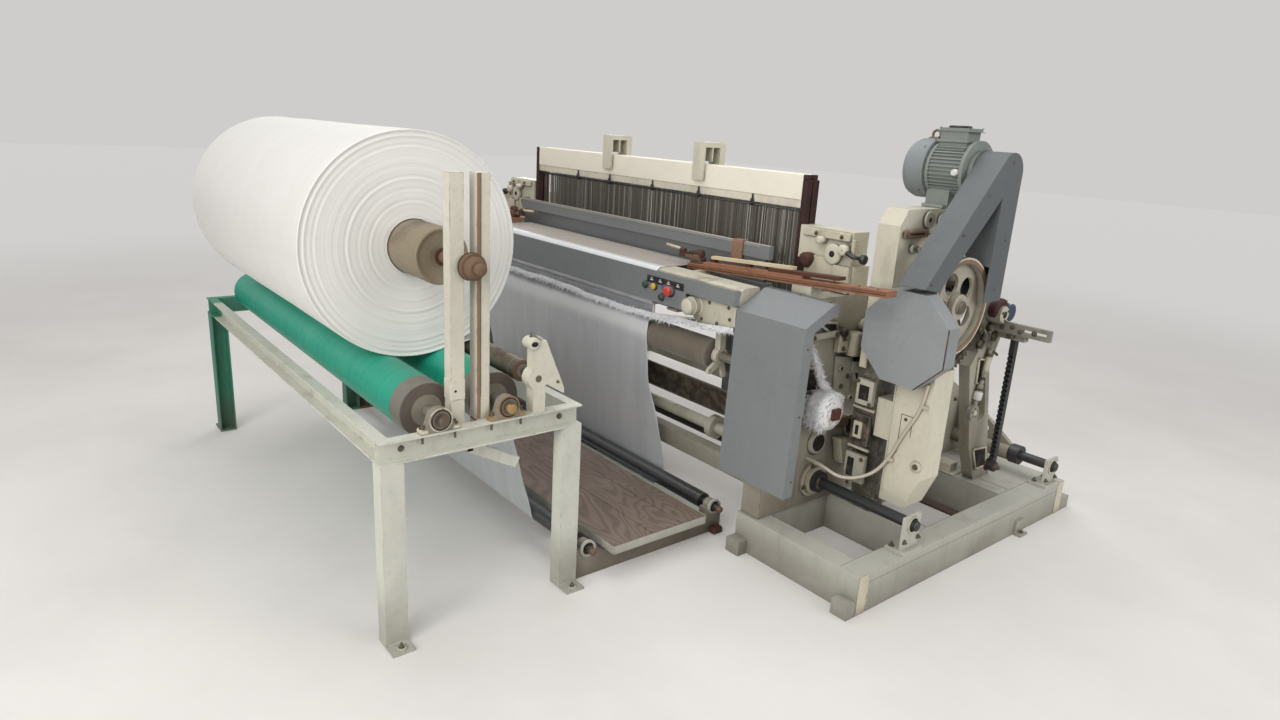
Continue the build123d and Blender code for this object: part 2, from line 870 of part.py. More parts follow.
# Cross members
breast_end_gap = 2
breast_half_length = front_cover_inner_x - breast_end_gap
with BuildPart() as breast_beam:
    with BuildSketch(Plane.YZ.offset(-breast_half_length)):
        with BuildLine():
            Polyline(
                (breast_front_y, breast_bottom), (breast_front_y, nose_z),
                (nose_y - nose_radius * 0.7071, nose_z + nose_radius * 0.7071),
                (nose_y, breast_top), (breast_front_y + breast_depth, breast_top),
                (breast_front_y + breast_depth, breast_bottom), close=True,
            )
        make_face()
    extrude(amount=2 * breast_half_length)
    for side in (1, -1):
        bar(*sorted((side * breast_half_length, side * side_inner_x)), breast_front_y + breast_bracket_inset,
            breast_front_y + breast_depth, breast_bottom, front_cover_shoulder - breast_bracket_drop)
        hanger = side * (takeup_half_length + hanger_offset)
        low, high = hanger - hanger_thickness / 2, hanger + hanger_thickness / 2
        bar(low, high, takeup_y - hanger_half_depth, takeup_y + hanger_half_depth, takeup_z,
            breast_bottom)
        with BuildSketch(Plane.YZ.offset(low + hanger_fork_inset)):
            with BuildLine():
                Polyline(*[(takeup_y + y, takeup_z + z) for y, z in hanger_fork], close=True)
            make_face()
        extrude(amount=hanger_thickness - 2 * hanger_fork_inset)
        round_bar(low, high, takeup_y, takeup_z, takeup_shaft_radius + hanger_ring)
        round_bar(low, high, takeup_y, takeup_z, takeup_shaft_radius + pin_gap, Mode.SUBTRACT)
    with Locations((stop_x, (stop_front_y + breast_front_y) / 2, stop_z)):
        Cylinder(stop_radius, breast_front_y - stop_front_y, rotation=(90, 0, 0))
    with BuildSketch(Plane.XZ.offset(-breast_front_y)):
        with BuildLine():
            Polyline(
                (stop_x, stop_plate_low), (breast_half_length - stop_plate_corner, stop_plate_low),
                (breast_half_length, stop_plate_side), (breast_half_length, stop_plate_top),
                (stop_x - stop_radius / 2, stop_plate_top), (stop_x - stop_radius / 2, stop_plate_side),
                close=True,
            )
        make_face()
    extrude(amount=stop_plate_thickness)
write(breast_beam, "breast_beam")

with BuildPart() as breast_cover:
    bar(-breast_half_length, breast_half_length, cover_front_y, cover_front_y + sheet_wall,
        cover_bottom, cover_top)
    for side in (1, -1):
        bar(*sorted((side * breast_half_length, side * (breast_half_length - sheet_wall))),
            cover_front_y, breast_front_y, cover_bottom, cover_top)
    with Locations(((cutaway_x + breast_half_length) / 2, breast_front_y, cover_bottom)):
        Box(breast_half_length - cutaway_x + 2 * sheet_wall, 4 * breast_depth,
            2 * (cutaway_top - cover_bottom), mode=Mode.SUBTRACT)
    strip_low, strip_high, strip_bottom, strip_top = label_strip
    bar(stop_x + strip_low, stop_x + strip_high, cover_front_y - label_thickness, cover_front_y,
        strip_bottom, strip_top)
    knobs = [(x, z, button_radius, button_depth) for x, z in button_places]
    knobs.append((*stop_button, stop_button_radius, 2 * button_depth))
    for x, z, radius, depth in knobs:
        with Locations((stop_x + x, cover_front_y - depth / 2, z)):
            Cylinder(radius, depth, rotation=(90, 0, 0))
write(breast_cover, "breast_cover")

with BuildPart() as low_rails:
    for y, z in ((rail_low_y, rail_low_z), (base_mid_back_y, rail_low_z)):
        bar(-side_inner_x, side_inner_x, y, y + rail_depth, z, z + rail_height)
    with BuildSketch(Plane.YZ.offset(-side_inner_x)):
        with BuildLine():
            Polyline((pan_front_y, pan_top), (pan_front_y + sheet_wall, pan_top),
                     (pan_back_y + sheet_wall, pan_bottom), (pan_back_y, pan_bottom), close=True)
        make_face()
    extrude(amount=2 * side_inner_x)
    round_bar(-side_inner_x, side_inner_x, pipe_y, pipe_z, pipe_radius)
    for side in (1, -1):
        round_bar(*sorted((side * pipe_flange_x, side * (pipe_flange_x + pipe_flange_width))),
                  pipe_y, pipe_z, pipe_flange_radius)
write(low_rails, "low_rails")


# Rollers held in the side frames
def cross_roller(y, z, radius, shaft_radius, half_length):
    """Roller with a thinner shaft that ends in the side frames."""
    with BuildPart() as roller:
        round_bar(-half_length, half_length, y, z, radius)
        round_bar(-side_outer_x, side_outer_x, y, z, shaft_radius)
    return roller


take_up_roller = cross_roller(takeup_y, takeup_z, takeup_radius, takeup_shaft_radius, takeup_half_length)
write(take_up_roller, "take_up_roller")
press_roller = cross_roller(press_y, press_z, press_radius, takeup_shaft_radius, takeup_half_length + 60)
write(press_roller, "press_roller")

# Sley
with BuildPart() as sley_beam:
    round_bar(-side_outer_x, side_outer_x, rocker_y, rocker_z, rocker_radius)
    bar(-sley_half_length, sley_half_length, rocker_y - sley_depth / 2, rocker_y + sley_depth / 2,
        race_bottom, race_top)
    for x in (-sword_x, 0, sword_x):
        bar(x - sword_thickness / 2, x + sword_thickness / 2, rocker_y - sword_width / 2,
            rocker_y + sword_width / 2, rocker_z, race_bottom)
        round_bar(x - sword_hub_width / 2, x + sword_hub_width / 2, rocker_y, rocker_z,
                  rocker_radius + sword_hub_ring)
write(sley_beam, "sley_beam")
with BuildPart() as reed:
    bar(-sley_half_length + reed_inset, sley_half_length - reed_inset, rocker_y - reed_thickness / 2,
        rocker_y + reed_thickness / 2, race_top, reed_top)
write(reed, "reed")
with BuildPart() as reed_cap:
    bar(-sley_half_length, sley_half_length, rocker_y - reed_depth / 2, rocker_y + reed_depth / 2,
        reed_top, reed_cap_top)
write(reed_cap, "reed_cap")


# Heald frames
def heald_board_pair(y):
    """Top and bottom boards joined by the end stiles."""
    with BuildPart() as frame:
        bar(-heald_half_length, heald_half_length, y, y + heald_depth, heald_top - heald_board, heald_top)
        bar(-heald_half_length, heald_half_length, y, y + heald_depth, heald_bottom,
            heald_bottom + heald_lower_board)
        for side in (1, -1):
            bar(*sorted((side * heald_half_length, side * (heald_half_length - heald_stile))), y,
                y + heald_depth, heald_bottom, heald_top)
    return frame


def heddle_wires(y):
    """Heddles, flat bars between the boards."""
    inner = heald_half_length - heald_stile
    low, high = heald_bottom + heald_lower_board, heald_top - heald_board
    pitch = 2 * inner / (heddle_count + 1)
    with BuildPart() as wires:
        with Locations((0, y + heald_depth / 2, (low + high) / 2)):
            with GridLocations(pitch, 1, heddle_count, 1):
                Box(heddle_width, heddle_width, high - low)
    return wires


heald_frame_front = heald_board_pair(heald_front_y)
write(heald_frame_front, "heald_frame_front")
heald_frame_back = heald_board_pair(heald_front_y + heald_pitch)
write(heald_frame_back, "heald_frame_back")
heddles_front = heddle_wires(heald_front_y)
write(heddles_front, "heddles_front")
heddles_back = heddle_wires(heald_front_y + heald_pitch)
write(heddles_back, "heddles_back")


with BuildPart() as heald_guides:
    guide_low = heald_half_length + heald_guide_gap
    guide_front = heald_front_y - heald_guide_room
    guide_back = heald_front_y + heald_pitch + heald_depth + heald_guide_room
    for side in (1, -1):
        bar(*sorted((side * guide_low, side * (side_outer_x - heald_guide_inset))), guide_front, guide_back,
            side_top_z + heald_guide_foot, side_top_z + heald_guide_height)
        bar(*sorted((side * side_inner_x, side * side_outer_x)), guide_front, guide_back,
            side_top_z, side_top_z + heald_guide_foot)
write(heald_guides, "heald_guides")

with BuildPart() as steady_beam:
    bar(-side_inner_x, side_inner_x, guide_beam_y, guide_beam_y + guide_beam_depth,
        side_top_z - guide_beam_height - guide_beam_drop, side_top_z - guide_beam_drop)
    strip_y = heald_front_y - guide_strip_gap
    slat_y = heald_front_y + (heald_pitch + heald_depth) / 2
    for x in guide_post_xs:
        low, high = x - guide_post_width / 2, x + guide_post_width / 2
        bar(low, high, guide_beam_y, guide_beam_y + guide_post_depth, side_top_z - guide_beam_drop,
            guide_post_top)
        bar(low, high, strip_y, guide_beam_y, guide_post_top - guide_comb_drop, guide_post_top)
        bar(low, high, strip_y - guide_strip_thickness, strip_y, guide_strip_bottom, guide_post_top)
        bar(low, high, slat_y - guide_slat_thickness / 2, slat_y + guide_slat_thickness / 2,
            guide_slat_bottom, guide_post_top - guide_comb_drop)
write(steady_beam, "steady_beam")


# Front covers
def front_cover(side):
    """Bent sheet with a sloping top, its outer end open behind a return flange."""
    low, high = sorted((side * front_cover_inner_x, side * front_cover_outer_x))
    top_y = base_front_y
    back_y = top_y + front_cover_slope + front_cover_lip
    lip_end, flat_end = (back_y, front_cover_top), (back_y, front_cover_top - front_cover_wall)
    outline = [
        (top_y - front_cover_lean, front_cover_bottom), (top_y, front_cover_shoulder),
        (top_y + front_cover_slope, front_cover_top), lip_end, flat_end,
        (top_y + front_cover_slope, front_cover_top - front_cover_wall),
        (top_y + front_cover_wall, front_cover_shoulder - front_cover_wall),
        (top_y - front_cover_lean + front_cover_wall, front_cover_bottom),
    ]
    return_flange = [
        (top_y - front_cover_lean, front_cover_bottom), (top_y, front_cover_shoulder),
        (top_y + front_cover_slope, front_cover_top), lip_end,
        (back_y, front_cover_top - front_cover_return),
        (top_y + front_cover_slope, front_cover_top - front_cover_return),
        (top_y + front_cover_return, front_cover_shoulder - 20),
        (top_y - front_cover_lean + front_cover_return, front_cover_bottom),
    ]
    outer_plane = side * front_cover_outer_x
    with BuildPart() as cover:
        with BuildSketch(Plane.YZ.offset(low)):
            with BuildLine():
                Polyline(*outline, close=True)
            make_face()
        extrude(amount=high - low)
        with BuildSketch(Plane.YZ.offset(outer_plane)):
            with BuildLine():
                Polyline(*return_flange, close=True)
            make_face()
        extrude(amount=-side * front_cover_wall)
    return cover


front_cover_right = front_cover(1)
write(front_cover_right, "front_cover_right")
front_cover_left = front_cover(-1)
write(front_cover_left, "front_cover_left")

# Rapier wheel columns and covers
octagon_wall = 3
octagon_front_y = column_front_y - octagon_depth

with BuildPart() as columns:
    for side in (1, -1):
        inner, outer = side * column_inner_x, side * (column_inner_x + column_width)
        stand_face = side * (stand_inner_x + stand_width)
        with BuildSketch(Plane.XZ.offset(-column_front_y)):
            with BuildLine():
                Polyline(
                    (inner, column_top), (inner, column_bottom),
                    (outer - side * column_corner_width, column_bottom),
                    (outer, column_bottom + column_corner_height), (outer, column_top), close=True,
                )
            make_face()
        extrude(amount=-column_depth)
        with BuildSketch(Plane.XZ.offset(-column_front_y - column_wall)):
            with BuildLine():
                Polyline(
                    (inner + side * column_wall, column_top + column_wall),
                    (inner + side * column_wall, column_bottom + column_wall),
                    (outer - side * (column_corner_width + column_wall / 2), column_bottom + column_wall),
                    (outer - side * column_wall, column_bottom + column_corner_height + column_wall / 2),
                    (outer - side * column_wall, column_top + column_wall), close=True,
                )
            make_face()
        extrude(amount=-(column_depth - column_wall), mode=Mode.SUBTRACT)
        bar(*sorted((stand_face, inner)), column_front_y + column_tie_front,
            column_front_y + column_tie_front + column_tie_depth, column_tie_bottom, column_tie_top)
        bar(*sorted((stand_face, outer)), column_front_y, column_front_y + column_head_thickness,
            column_top - column_head_drop, column_head_top)
write(columns, "columns")


def octagon(side):
    """Eight-sided cover over the rapier wheel, open at the back."""
    corner = octagon_across / 2 / cos(radians(22.5))
    with BuildPart() as cover:
        with BuildSketch(Plane.XZ.offset(-octagon_front_y)):
            with Locations((side * octagon_x, octagon_z)):
                RegularPolygon(corner, 8, rotation=22.5)
        extrude(amount=-octagon_depth)
        with BuildSketch(Plane.XZ.offset(-octagon_front_y - octagon_wall)):
            with Locations((side * octagon_x, octagon_z)):
                RegularPolygon(corner - octagon_wall, 8, rotation=22.5)
        extrude(amount=-(octagon_depth - octagon_wall), mode=Mode.SUBTRACT)
    return cover


wheel_cover_right = octagon(1)
write(wheel_cover_right, "wheel_cover_right")
wheel_cover_left = octagon(-1)
write(wheel_cover_left, "wheel_cover_left")


with BuildPart() as stands:
    for side, top in ((1, stand_top), (-1, stand_left_top)):
        low, high = sorted((side * stand_inner_x, side * (stand_inner_x + stand_width)))
        with BuildSketch(Plane.YZ.offset(low)):
            with BuildLine():
                Polyline(
                    (base_mid_front_y, base_height), (base_mid_front_y, stand_step_low),
                    (column_front_y, stand_step_high), (column_front_y, top - stand_corner_drop),
                    (column_front_y + stand_corner, top), (stand_back_y, top),
                    (stand_back_y, stand_back_step),
                    (base_mid_front_y + base_beam, stand_heel_z),
                    (base_mid_front_y + base_beam, base_height), close=True,
                )
            make_face()
        extrude(amount=high - low)
        shafts = ((wheel_y, wheel_z, wheel_shaft_radius), (crank_y, crank_z, crank_shaft_radius))
        outer = side * (stand_inner_x + stand_width)
        for y, z, radius in shafts:
            round_bar(*sorted((outer, outer + side * stand_boss)), y, z, radius + stand_boss_wall)
        for y, z, radius in shafts:
            round_bar(*sorted((side * stand_inner_x, outer + side * stand_boss)), y, z,
                      radius + pin_gap, Mode.SUBTRACT)
write(stands, "stands")

# Motor on its seat
guard_boss_radius = 75
motor_low_x = motor_far_x + cowl_length
motor_high_x = motor_near_x - motor_flange_inset
with BuildPart() as motor:
    round_bar(motor_low_x, motor_high_x, motor_y, motor_z, motor_radius - motor_rib)
    with Locations(Plane(origin=((motor_low_x + motor_high_x) / 2, motor_y, motor_z), z_dir=(1, 0, 0))):
        with PolarLocations(motor_radius - motor_rib, motor_rib_count):
            Box(2 * motor_rib, motor_rib_width, motor_high_x - motor_low_x)
    flange_x = motor_high_x + motor_flange
    round_bar(motor_high_x, flange_x, motor_y, motor_z, motor_radius + motor_flange_rim)
    round_bar(flange_x, guard_inner_x, motor_y, motor_z, guard_boss_radius)
    bar(stand_inner_x, stand_inner_x + stand_width, motor_y - motor_seat_half_width,
        motor_y + motor_seat_half_width, stand_top, motor_z)
    box_low_x, box_high_x = motor_low_x + terminal_inset, motor_high_x - terminal_inset
    box_top = motor_z + motor_radius + terminal_rise
    half = terminal_half_width
    bar(box_low_x, box_high_x, motor_y - half, motor_y + half, motor_z, box_top)
    half = terminal_half_width + terminal_lip
    bar(box_low_x - terminal_lip, box_high_x + terminal_lip, motor_y - half, motor_y + half, box_top,
        box_top + terminal_cap)
write(motor, "motor")
with BuildPart() as motor_cowl:
    with BuildSketch(Plane.XY.offset(motor_z)):
        with BuildLine():
            Polyline(
                (motor_low_x, motor_y), (motor_low_x, motor_y + cowl_radius),
                (motor_far_x + cowl_edge_depth, motor_y + cowl_radius),
                (motor_far_x + cowl_edge_depth / 3, motor_y + cowl_radius - cowl_edge / 3),
                (motor_far_x, motor_y + cowl_radius - cowl_edge), (motor_far_x, motor_y), close=True,
            )
        make_face()
    revolve(axis=Axis((0, motor_y, motor_z), (1, 0, 0)))
write(motor_cowl, "motor_cowl")

# Belt guard, an upside-down V box around the two pulleys
guard_top_radius = 78
guard_top_y = 700
guard_top_z = 1547
guard_left_y = 236
guard_left_z = 1145
guard_inner_left_y = 330
guard_inner_left_z = 1128
guard_leg_width = 125
guard_right_z = 1061
guard_apex_z = 1460
guard_wall = 3


def guard_outline(inset):
    """Face of the guard in the YZ plane, its edges moved inward by inset."""
    radius = guard_top_radius
    reach_y, reach_z = guard_top_y - guard_left_y, guard_top_z - guard_left_z
    reach = sqrt(reach_y ** 2 + reach_z ** 2)
    slope = atan2(reach_z, reach_y) + asin(radius / reach)
    length = sqrt(reach ** 2 - radius ** 2)
    touch = (guard_left_y + length * cos(slope), guard_left_z + length * sin(slope))
    half_way = (slope + pi / 2) / 2
    crown = (guard_top_y + radius * cos(half_way), guard_top_z + radius * sin(half_way))
    right = guard_top_y + radius
    with BuildSketch(Plane.YZ.offset(guard_inner_x + inset)) as outline:
        with BuildLine():
            Line((guard_left_y, guard_left_z), touch)
            ThreePointArc(touch, crown, (right, guard_top_z))
            Polyline(
                (right, guard_top_z), (right, guard_right_z), (right - guard_leg_width, guard_right_z),
                (right - guard_leg_width + 9, guard_apex_z), (guard_inner_left_y, guard_inner_left_z),
                (guard_left_y, guard_left_z),
            )
        make_face()
        if inset > 0:
            offset(amount=-inset, mode=Mode.REPLACE)
    return outline.sketch


with BuildPart() as belt_guard:
    extrude(guard_outline(0), amount=guard_width)
    extrude(guard_outline(guard_wall), amount=guard_width - 2 * guard_wall, mode=Mode.SUBTRACT)
    round_bar(guard_inner_x + guard_wall, guard_inner_x + guard_width - guard_wall, wheel_y, wheel_z,
              wheel_radius + side_gap, Mode.SUBTRACT)
write(belt_guard, "belt_guard")


# Gears
gear_low_x = stand_inner_x + stand_width + gear_side_gap
gear_high_x = gear_low_x + gear_width
mesh_angle = atan2(crank_z - wheel_z, crank_y - wheel_y)


def involute(angle):
    return tan(angle) - angle


def gear_outline(teeth, y, z, first_tooth):
    """Corners of a spur gear in the YZ plane, the first tooth centred on the given angle."""
    pitch = gear_module * teeth / 2
    base = pitch * cos(radians(20))
    root, tip = pitch - 1.2 * gear_module, pitch + gear_module
    half_tooth = pi / 2 / teeth - gear_backlash + involute(radians(20))
    foot = max(base, root)
    flank = [(root, half_tooth - involute(acos(base / foot)))]
    for radius in (foot, pitch, tip):
        flank.append((radius, half_tooth - involute(acos(base / radius))))
    if root >= base:
        flank = flank[1:]
    corners = []
    for tooth in range(teeth):
        middle = first_tooth + 2 * pi * tooth / teeth
        for radius, turn in flank:
            corners.append((y + radius * cos(middle - turn), z + radius * sin(middle - turn)))
        for radius, turn in reversed(flank):
            corners.append((y + radius * cos(middle + turn), z + radius * sin(middle + turn)))
    return corners


# Flywheel inside the guard, on the main shaft with its pinion
wheel_low_x = guard_inner_x + (guard_width - wheel_width) / 2
wheel_high_x = wheel_low_x + wheel_width
with BuildPart() as flywheel:
    round_bar(wheel_low_x, wheel_high_x, wheel_y, wheel_z, wheel_radius)
    for low, high in ((wheel_low_x, wheel_low_x + (wheel_width - wheel_web) / 2),
                      (wheel_high_x - (wheel_width - wheel_web) / 2, wheel_high_x)):
        round_bar(low, high, wheel_y, wheel_z, wheel_radius - wheel_rim, Mode.SUBTRACT)
    with Locations(Plane(origin=(wheel_high_x, wheel_y, wheel_z), z_dir=(1, 0, 0))):
        with PolarLocations(wheel_hole_circle, 5, start_angle=25):
            Cylinder(wheel_hole_radius, 3 * wheel_width, mode=Mode.SUBTRACT)
    round_bar(wheel_low_x, wheel_high_x, wheel_y, wheel_z, wheel_hub_radius)
    round_bar(stand_inner_x - 25, wheel_high_x + 10, wheel_y, wheel_z, wheel_shaft_radius)
    with BuildSketch(Plane.YZ.offset(gear_low_x)):
        with BuildLine():
            Polyline(*gear_outline(pinion_teeth, wheel_y, wheel_z, mesh_angle), close=True)
        make_face()
    extrude(amount=gear_width)
write(flywheel, "flywheel")

with BuildPart() as crank_gear:
    with BuildSketch(Plane.YZ.offset(gear_low_x)):
        with BuildLine():
            first_tooth = mesh_angle + pi + pi / crank_teeth
            Polyline(*gear_outline(crank_teeth, crank_y, crank_z, first_tooth), close=True)
        make_face()
    extrude(amount=gear_width)
    crank_web_radius = gear_module * crank_teeth / 2 - crank_rim
    recess = (gear_width - crank_web) / 2
    for low, high in ((gear_low_x, gear_low_x + recess), (gear_high_x - recess, gear_high_x)):
        round_bar(low, high, crank_y, crank_z, crank_web_radius, Mode.SUBTRACT)
    with Locations(Plane(origin=(gear_low_x, crank_y, crank_z), z_dir=(1, 0, 0))):
        with PolarLocations((crank_web_radius + crank_hub_radius) / 2, 5):
            Cylinder((crank_web_radius - crank_hub_radius) / 2 - 12, 3 * gear_width, mode=Mode.SUBTRACT)
    round_bar(gear_low_x, gear_high_x, crank_y, crank_z, crank_hub_radius)
    round_bar(stand_inner_x - 15, gear_high_x + 12, crank_y, crank_z, crank_shaft_radius)
write(crank_gear, "crank_gear")


# Ribbed castings that carry the back cross shaft out from the side frames
with BuildPart() as outriggers:
    for side in (1, -1):
        root, tip = side * side_outer_x, side * outrigger_end_x
        round_bar(*sorted((root, tip)), shaft_back_y, shaft_back_z, outrigger_tube_radius)
        with BuildSketch(Plane.XZ.offset(-shaft_back_y + outrigger_web / 2)):
            with BuildLine():
                Polyline((root, shaft_back_z - outrigger_tube_radius), (root, outrigger_root_top),
                         (root + side * outrigger_root_width, outrigger_root_top),
                         (tip, shaft_back_z + outrigger_tube_radius),
                         (tip, shaft_back_z - outrigger_tube_radius), close=True)
            make_face()
            for x, z, long, wide in outrigger_holes:
                with Locations((root + side * x, z)):
                    SlotOverall(long, wide, rotation=-side * outrigger_hole_turn, mode=Mode.SUBTRACT)
        extrude(amount=-outrigger_web)
        round_bar(*sorted((root, tip)), shaft_back_y, shaft_back_z, cross_shaft_radius + pin_gap,
                  Mode.SUBTRACT)
write(outriggers, "outriggers")


# Cross shafts and their bearing brackets
def cross_shaft(y, z, hub):
    """Shaft across the loom with a hub on each side, its inner face at the distance hub."""
    end = base_outer_x - 4
    with BuildPart() as shaft:
        round_bar(-end, end, y, z, cross_shaft_radius)
        for side in (1, -1):
            round_bar(*sorted((side * hub, side * (hub + shaft_hub_length))), y, z, shaft_hub_radius)
    return shaft


front_cross_shaft = cross_shaft(shaft_front_y, shaft_front_z, side_outer_x + side_gap)
write(front_cross_shaft, "front_cross_shaft")
back_cross_shaft = cross_shaft(shaft_back_y, shaft_back_z, outrigger_end_x + side_gap)
write(back_cross_shaft, "back_cross_shaft")


# Stand of the lever mechanism, at the back of the drive end
lever_face_x = lever_stand_x + lever_stand_thickness
with BuildPart() as lever_stand:
    with BuildSketch(Plane.YZ.offset(lever_stand_x)):
        with BuildLine():
            Polyline(*lever_stand_outline, close=True)
        make_face()
        window_y, window_z, long, wide, turn = lever_stand_window
        with Locations((window_y, window_z)):
            SlotOverall(long, wide, rotation=turn, mode=Mode.SUBTRACT)
    extrude(amount=lever_stand_thickness)
    round_bar(lever_face_x, lever_face_x + head_length, head_y, head_z, head_radius)
write(lever_stand, "lever_stand")

# Slotted lever with its bracket, and the rod with its turnbuckle
with BuildPart() as lever_linkage:
    bar(lever_face_x, base_outer_x - lever_end_gap, lever_y, lever_y + lever_thickness, lever_z,
        lever_z + lever_height)
    with Locations((lever_slot_x, lever_y, lever_z + lever_height / 2)):
        Box(lever_slot_length, 4 * lever_thickness, lever_slot_height, mode=Mode.SUBTRACT)
    bracket_bottom = lever_z - lever_bracket_drop
    bar(lever_face_x, notch_bar_x + lever_bracket_reach, lever_y + lever_thickness,
        notch_bar_y + notch_bar_depth, bracket_bottom, lever_z + lever_bracket_lap)
    rod_x = lever_face_x + rod_stand_off
    foot, top = (rod_x, *rod_foot), (rod_x, *rod_top)
    run = Vector(*top) - Vector(*foot)
    for share_low, share_high, radius in ((0, 1, rod_radius), (0.30, 0.42, rod_radius + 5),
                                          (0.58, 0.70, rod_radius + 5)):
        start = Vector(*foot) + run * share_low
        with BuildSketch(Plane(origin=start, z_dir=run)):
            RegularPolygon(radius, 8)
        extrude(amount=run.length * (share_high - share_low))
    round_bar(lever_face_x, rod_x + rod_radius, *rod_foot, rod_foot_radius)
    round_bar(lever_face_x, rod_x + rod_radius, *rod_top, rod_top_radius)
write(lever_linkage, "lever_linkage")

# Notched bar hanging below the lever
with BuildPart() as notched_bar:
    with BuildSketch(Plane.YZ.offset(notch_bar_x)):
        front, back = notch_bar_y, notch_bar_y + notch_bar_depth
        notches = []
        for step in range(notch_count):
            z = notch_bar_bottom + notch_start + step * notch_pitch
            notches += [(front, z), (front + notch_depth, z + notch_pitch / 6), (front, z + notch_pitch / 2)]
        with BuildLine():
            Polyline((back, notch_bar_bottom), (front, notch_bar_bottom), *notches,
                     (front, bracket_bottom), (back, bracket_bottom), close=True)
        make_face()
    extrude(amount=notch_bar_width)
    round_bar(notch_bar_x - notch_pin_reach, notch_bar_x + notch_bar_width + notch_pin_reach,
              notch_bar_y + notch_bar_depth / 2, notch_bar_bottom + notch_pin_height, notch_pin_radius)
write(notched_bar, "notched_bar")

# Waste selvedge reel
reel_start = side_outer_x + side_gap
with BuildPart() as waste_reel:
    round_bar(side_inner_x, reel_start, reel_y, reel_z, reel_shaft_radius)
    bar(reel_start, reel_near_x, reel_y - reel_core / 2, reel_y + reel_core / 2,
        reel_z - reel_core / 2, reel_z + reel_core / 2)
write(waste_reel, "waste_reel")
with BuildPart() as waste_yarn:
    round_bar(reel_start + 6, reel_near_x - 14, reel_y, reel_z, yarn_radius)
    with Locations(((reel_start + reel_near_x) / 2, reel_y, reel_z)):
        Box(reel_near_x - reel_start, reel_core + cloth_gap, reel_core + cloth_gap, mode=Mode.SUBTRACT)
write(waste_yarn, "waste_yarn")

# Wooden rapier tracks
track_low_x = 620
track_right_x = 650
track_left_x = 890
track_outer_x = 1690
track_front_y = 106
track_depth = 60
track_thickness = 25
track_inner_z = 1045
track_outer_z = 1112


def track_underside(x):
    """Height of the underside of a track at a distance x from the middle."""
    share = (x - track_low_x) / (track_outer_x - track_low_x)
    return track_inner_z + share * (track_outer_z - track_inner_z)


with BuildPart() as rapier_tracks:
    for side, track_inner_x in ((1, track_right_x), (-1, track_left_x)):
        ends = (track_inner_x, track_outer_x)
        low = [(side * x, track_underside(x)) for x in ends]
        high = [(side * x, track_underside(x) + track_thickness) for x in reversed(ends)]
        with BuildSketch(Plane.XZ.offset(-track_front_y)):
            with BuildLine():
                Polyline(*low, *high, close=True)
            make_face()
        extrude(amount=-track_depth)
write(rapier_tracks, "rapier_tracks")

breast_back_y = breast_front_y + breast_depth
with BuildPart() as track_rests:
    for side, track_inner_x in ((1, track_right_x), (-1, track_left_x)):
        for low, high, base, front in (
            (side_inner_x, side_outer_x, side_top_z, track_front_y),
            (track_inner_x + 80, track_inner_x + 120, breast_bottom + 40, breast_back_y),
        ):
            with BuildSketch(Plane.XZ.offset(-front)):
                with BuildLine():
                    Polyline(
                        (side * low, base), (side * high, base),
                        (side * high, track_underside(high)), (side * low, track_underside(low)),
                        close=True,
                    )
                make_face()
            extrude(amount=-(track_front_y + track_depth - front))
write(track_rests, "track_rests")

# Grey conduit from the side frame, up the front of the column and into the wheel cover
conduit_radius = 7
conduit_bend = 35
conduit_exit_y = 200
conduit_exit_z = 369
conduit_sag_z = 330
conduit_clip_z = 450
conduit_start_x = side_outer_x + cloth_gap
conduit_y = column_front_y - conduit_radius - cloth_gap
octagon_bottom = octagon_z - octagon_across / 2
with BuildPart() as conduit:
    with BuildLine():
        FilletPolyline(
            (conduit_start_x, conduit_exit_y, conduit_exit_z),
            (conduit_start_x + 2 * conduit_bend, conduit_exit_y, conduit_exit_z),
            (conduit_start_x + 162, conduit_exit_y + 25, conduit_sag_z),
            (column_inner_x - 25, conduit_y - 32, conduit_sag_z + 35),
            (column_inner_x + 25, conduit_y, conduit_clip_z),
            (column_inner_x + 65, conduit_y, conduit_clip_z + 110),
            (octagon_x + 85, conduit_y, octagon_bottom - 82),
            (octagon_x + 92, conduit_y, octagon_bottom + 12),
            radius=conduit_bend,
        )
    with BuildSketch(Plane(origin=(conduit_start_x, conduit_exit_y, conduit_exit_z), z_dir=(1, 0, 0))):
        RegularPolygon(conduit_radius, 8)
    sweep()
write(conduit, "conduit")
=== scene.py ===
import bmesh
import bpy
import math
import random
from itertools import product
from math import cos, pi, radians, sin
from mathutils import Matrix, Vector


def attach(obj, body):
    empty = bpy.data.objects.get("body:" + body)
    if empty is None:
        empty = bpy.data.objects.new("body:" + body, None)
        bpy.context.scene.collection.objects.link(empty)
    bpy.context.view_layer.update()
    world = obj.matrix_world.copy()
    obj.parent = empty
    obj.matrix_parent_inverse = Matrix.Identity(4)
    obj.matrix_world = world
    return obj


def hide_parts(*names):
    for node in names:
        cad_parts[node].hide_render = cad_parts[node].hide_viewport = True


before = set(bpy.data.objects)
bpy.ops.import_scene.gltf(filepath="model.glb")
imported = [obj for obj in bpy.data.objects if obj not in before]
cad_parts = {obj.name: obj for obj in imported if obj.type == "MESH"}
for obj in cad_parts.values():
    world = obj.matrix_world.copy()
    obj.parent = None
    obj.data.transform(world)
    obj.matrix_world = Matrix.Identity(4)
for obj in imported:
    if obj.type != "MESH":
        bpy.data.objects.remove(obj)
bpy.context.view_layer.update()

# The photograph's camera, solved from the straight edges of the plant
CAMERA_PLACE = (3.319, -2.3275, 1.6442)
YAW, PITCH, ROLL = radians(50.593), radians(16.048), radians(3.312)
FOCAL_PIXELS, IMAGE_PIXELS, SENSOR_MM = 813.2, 1280, 36

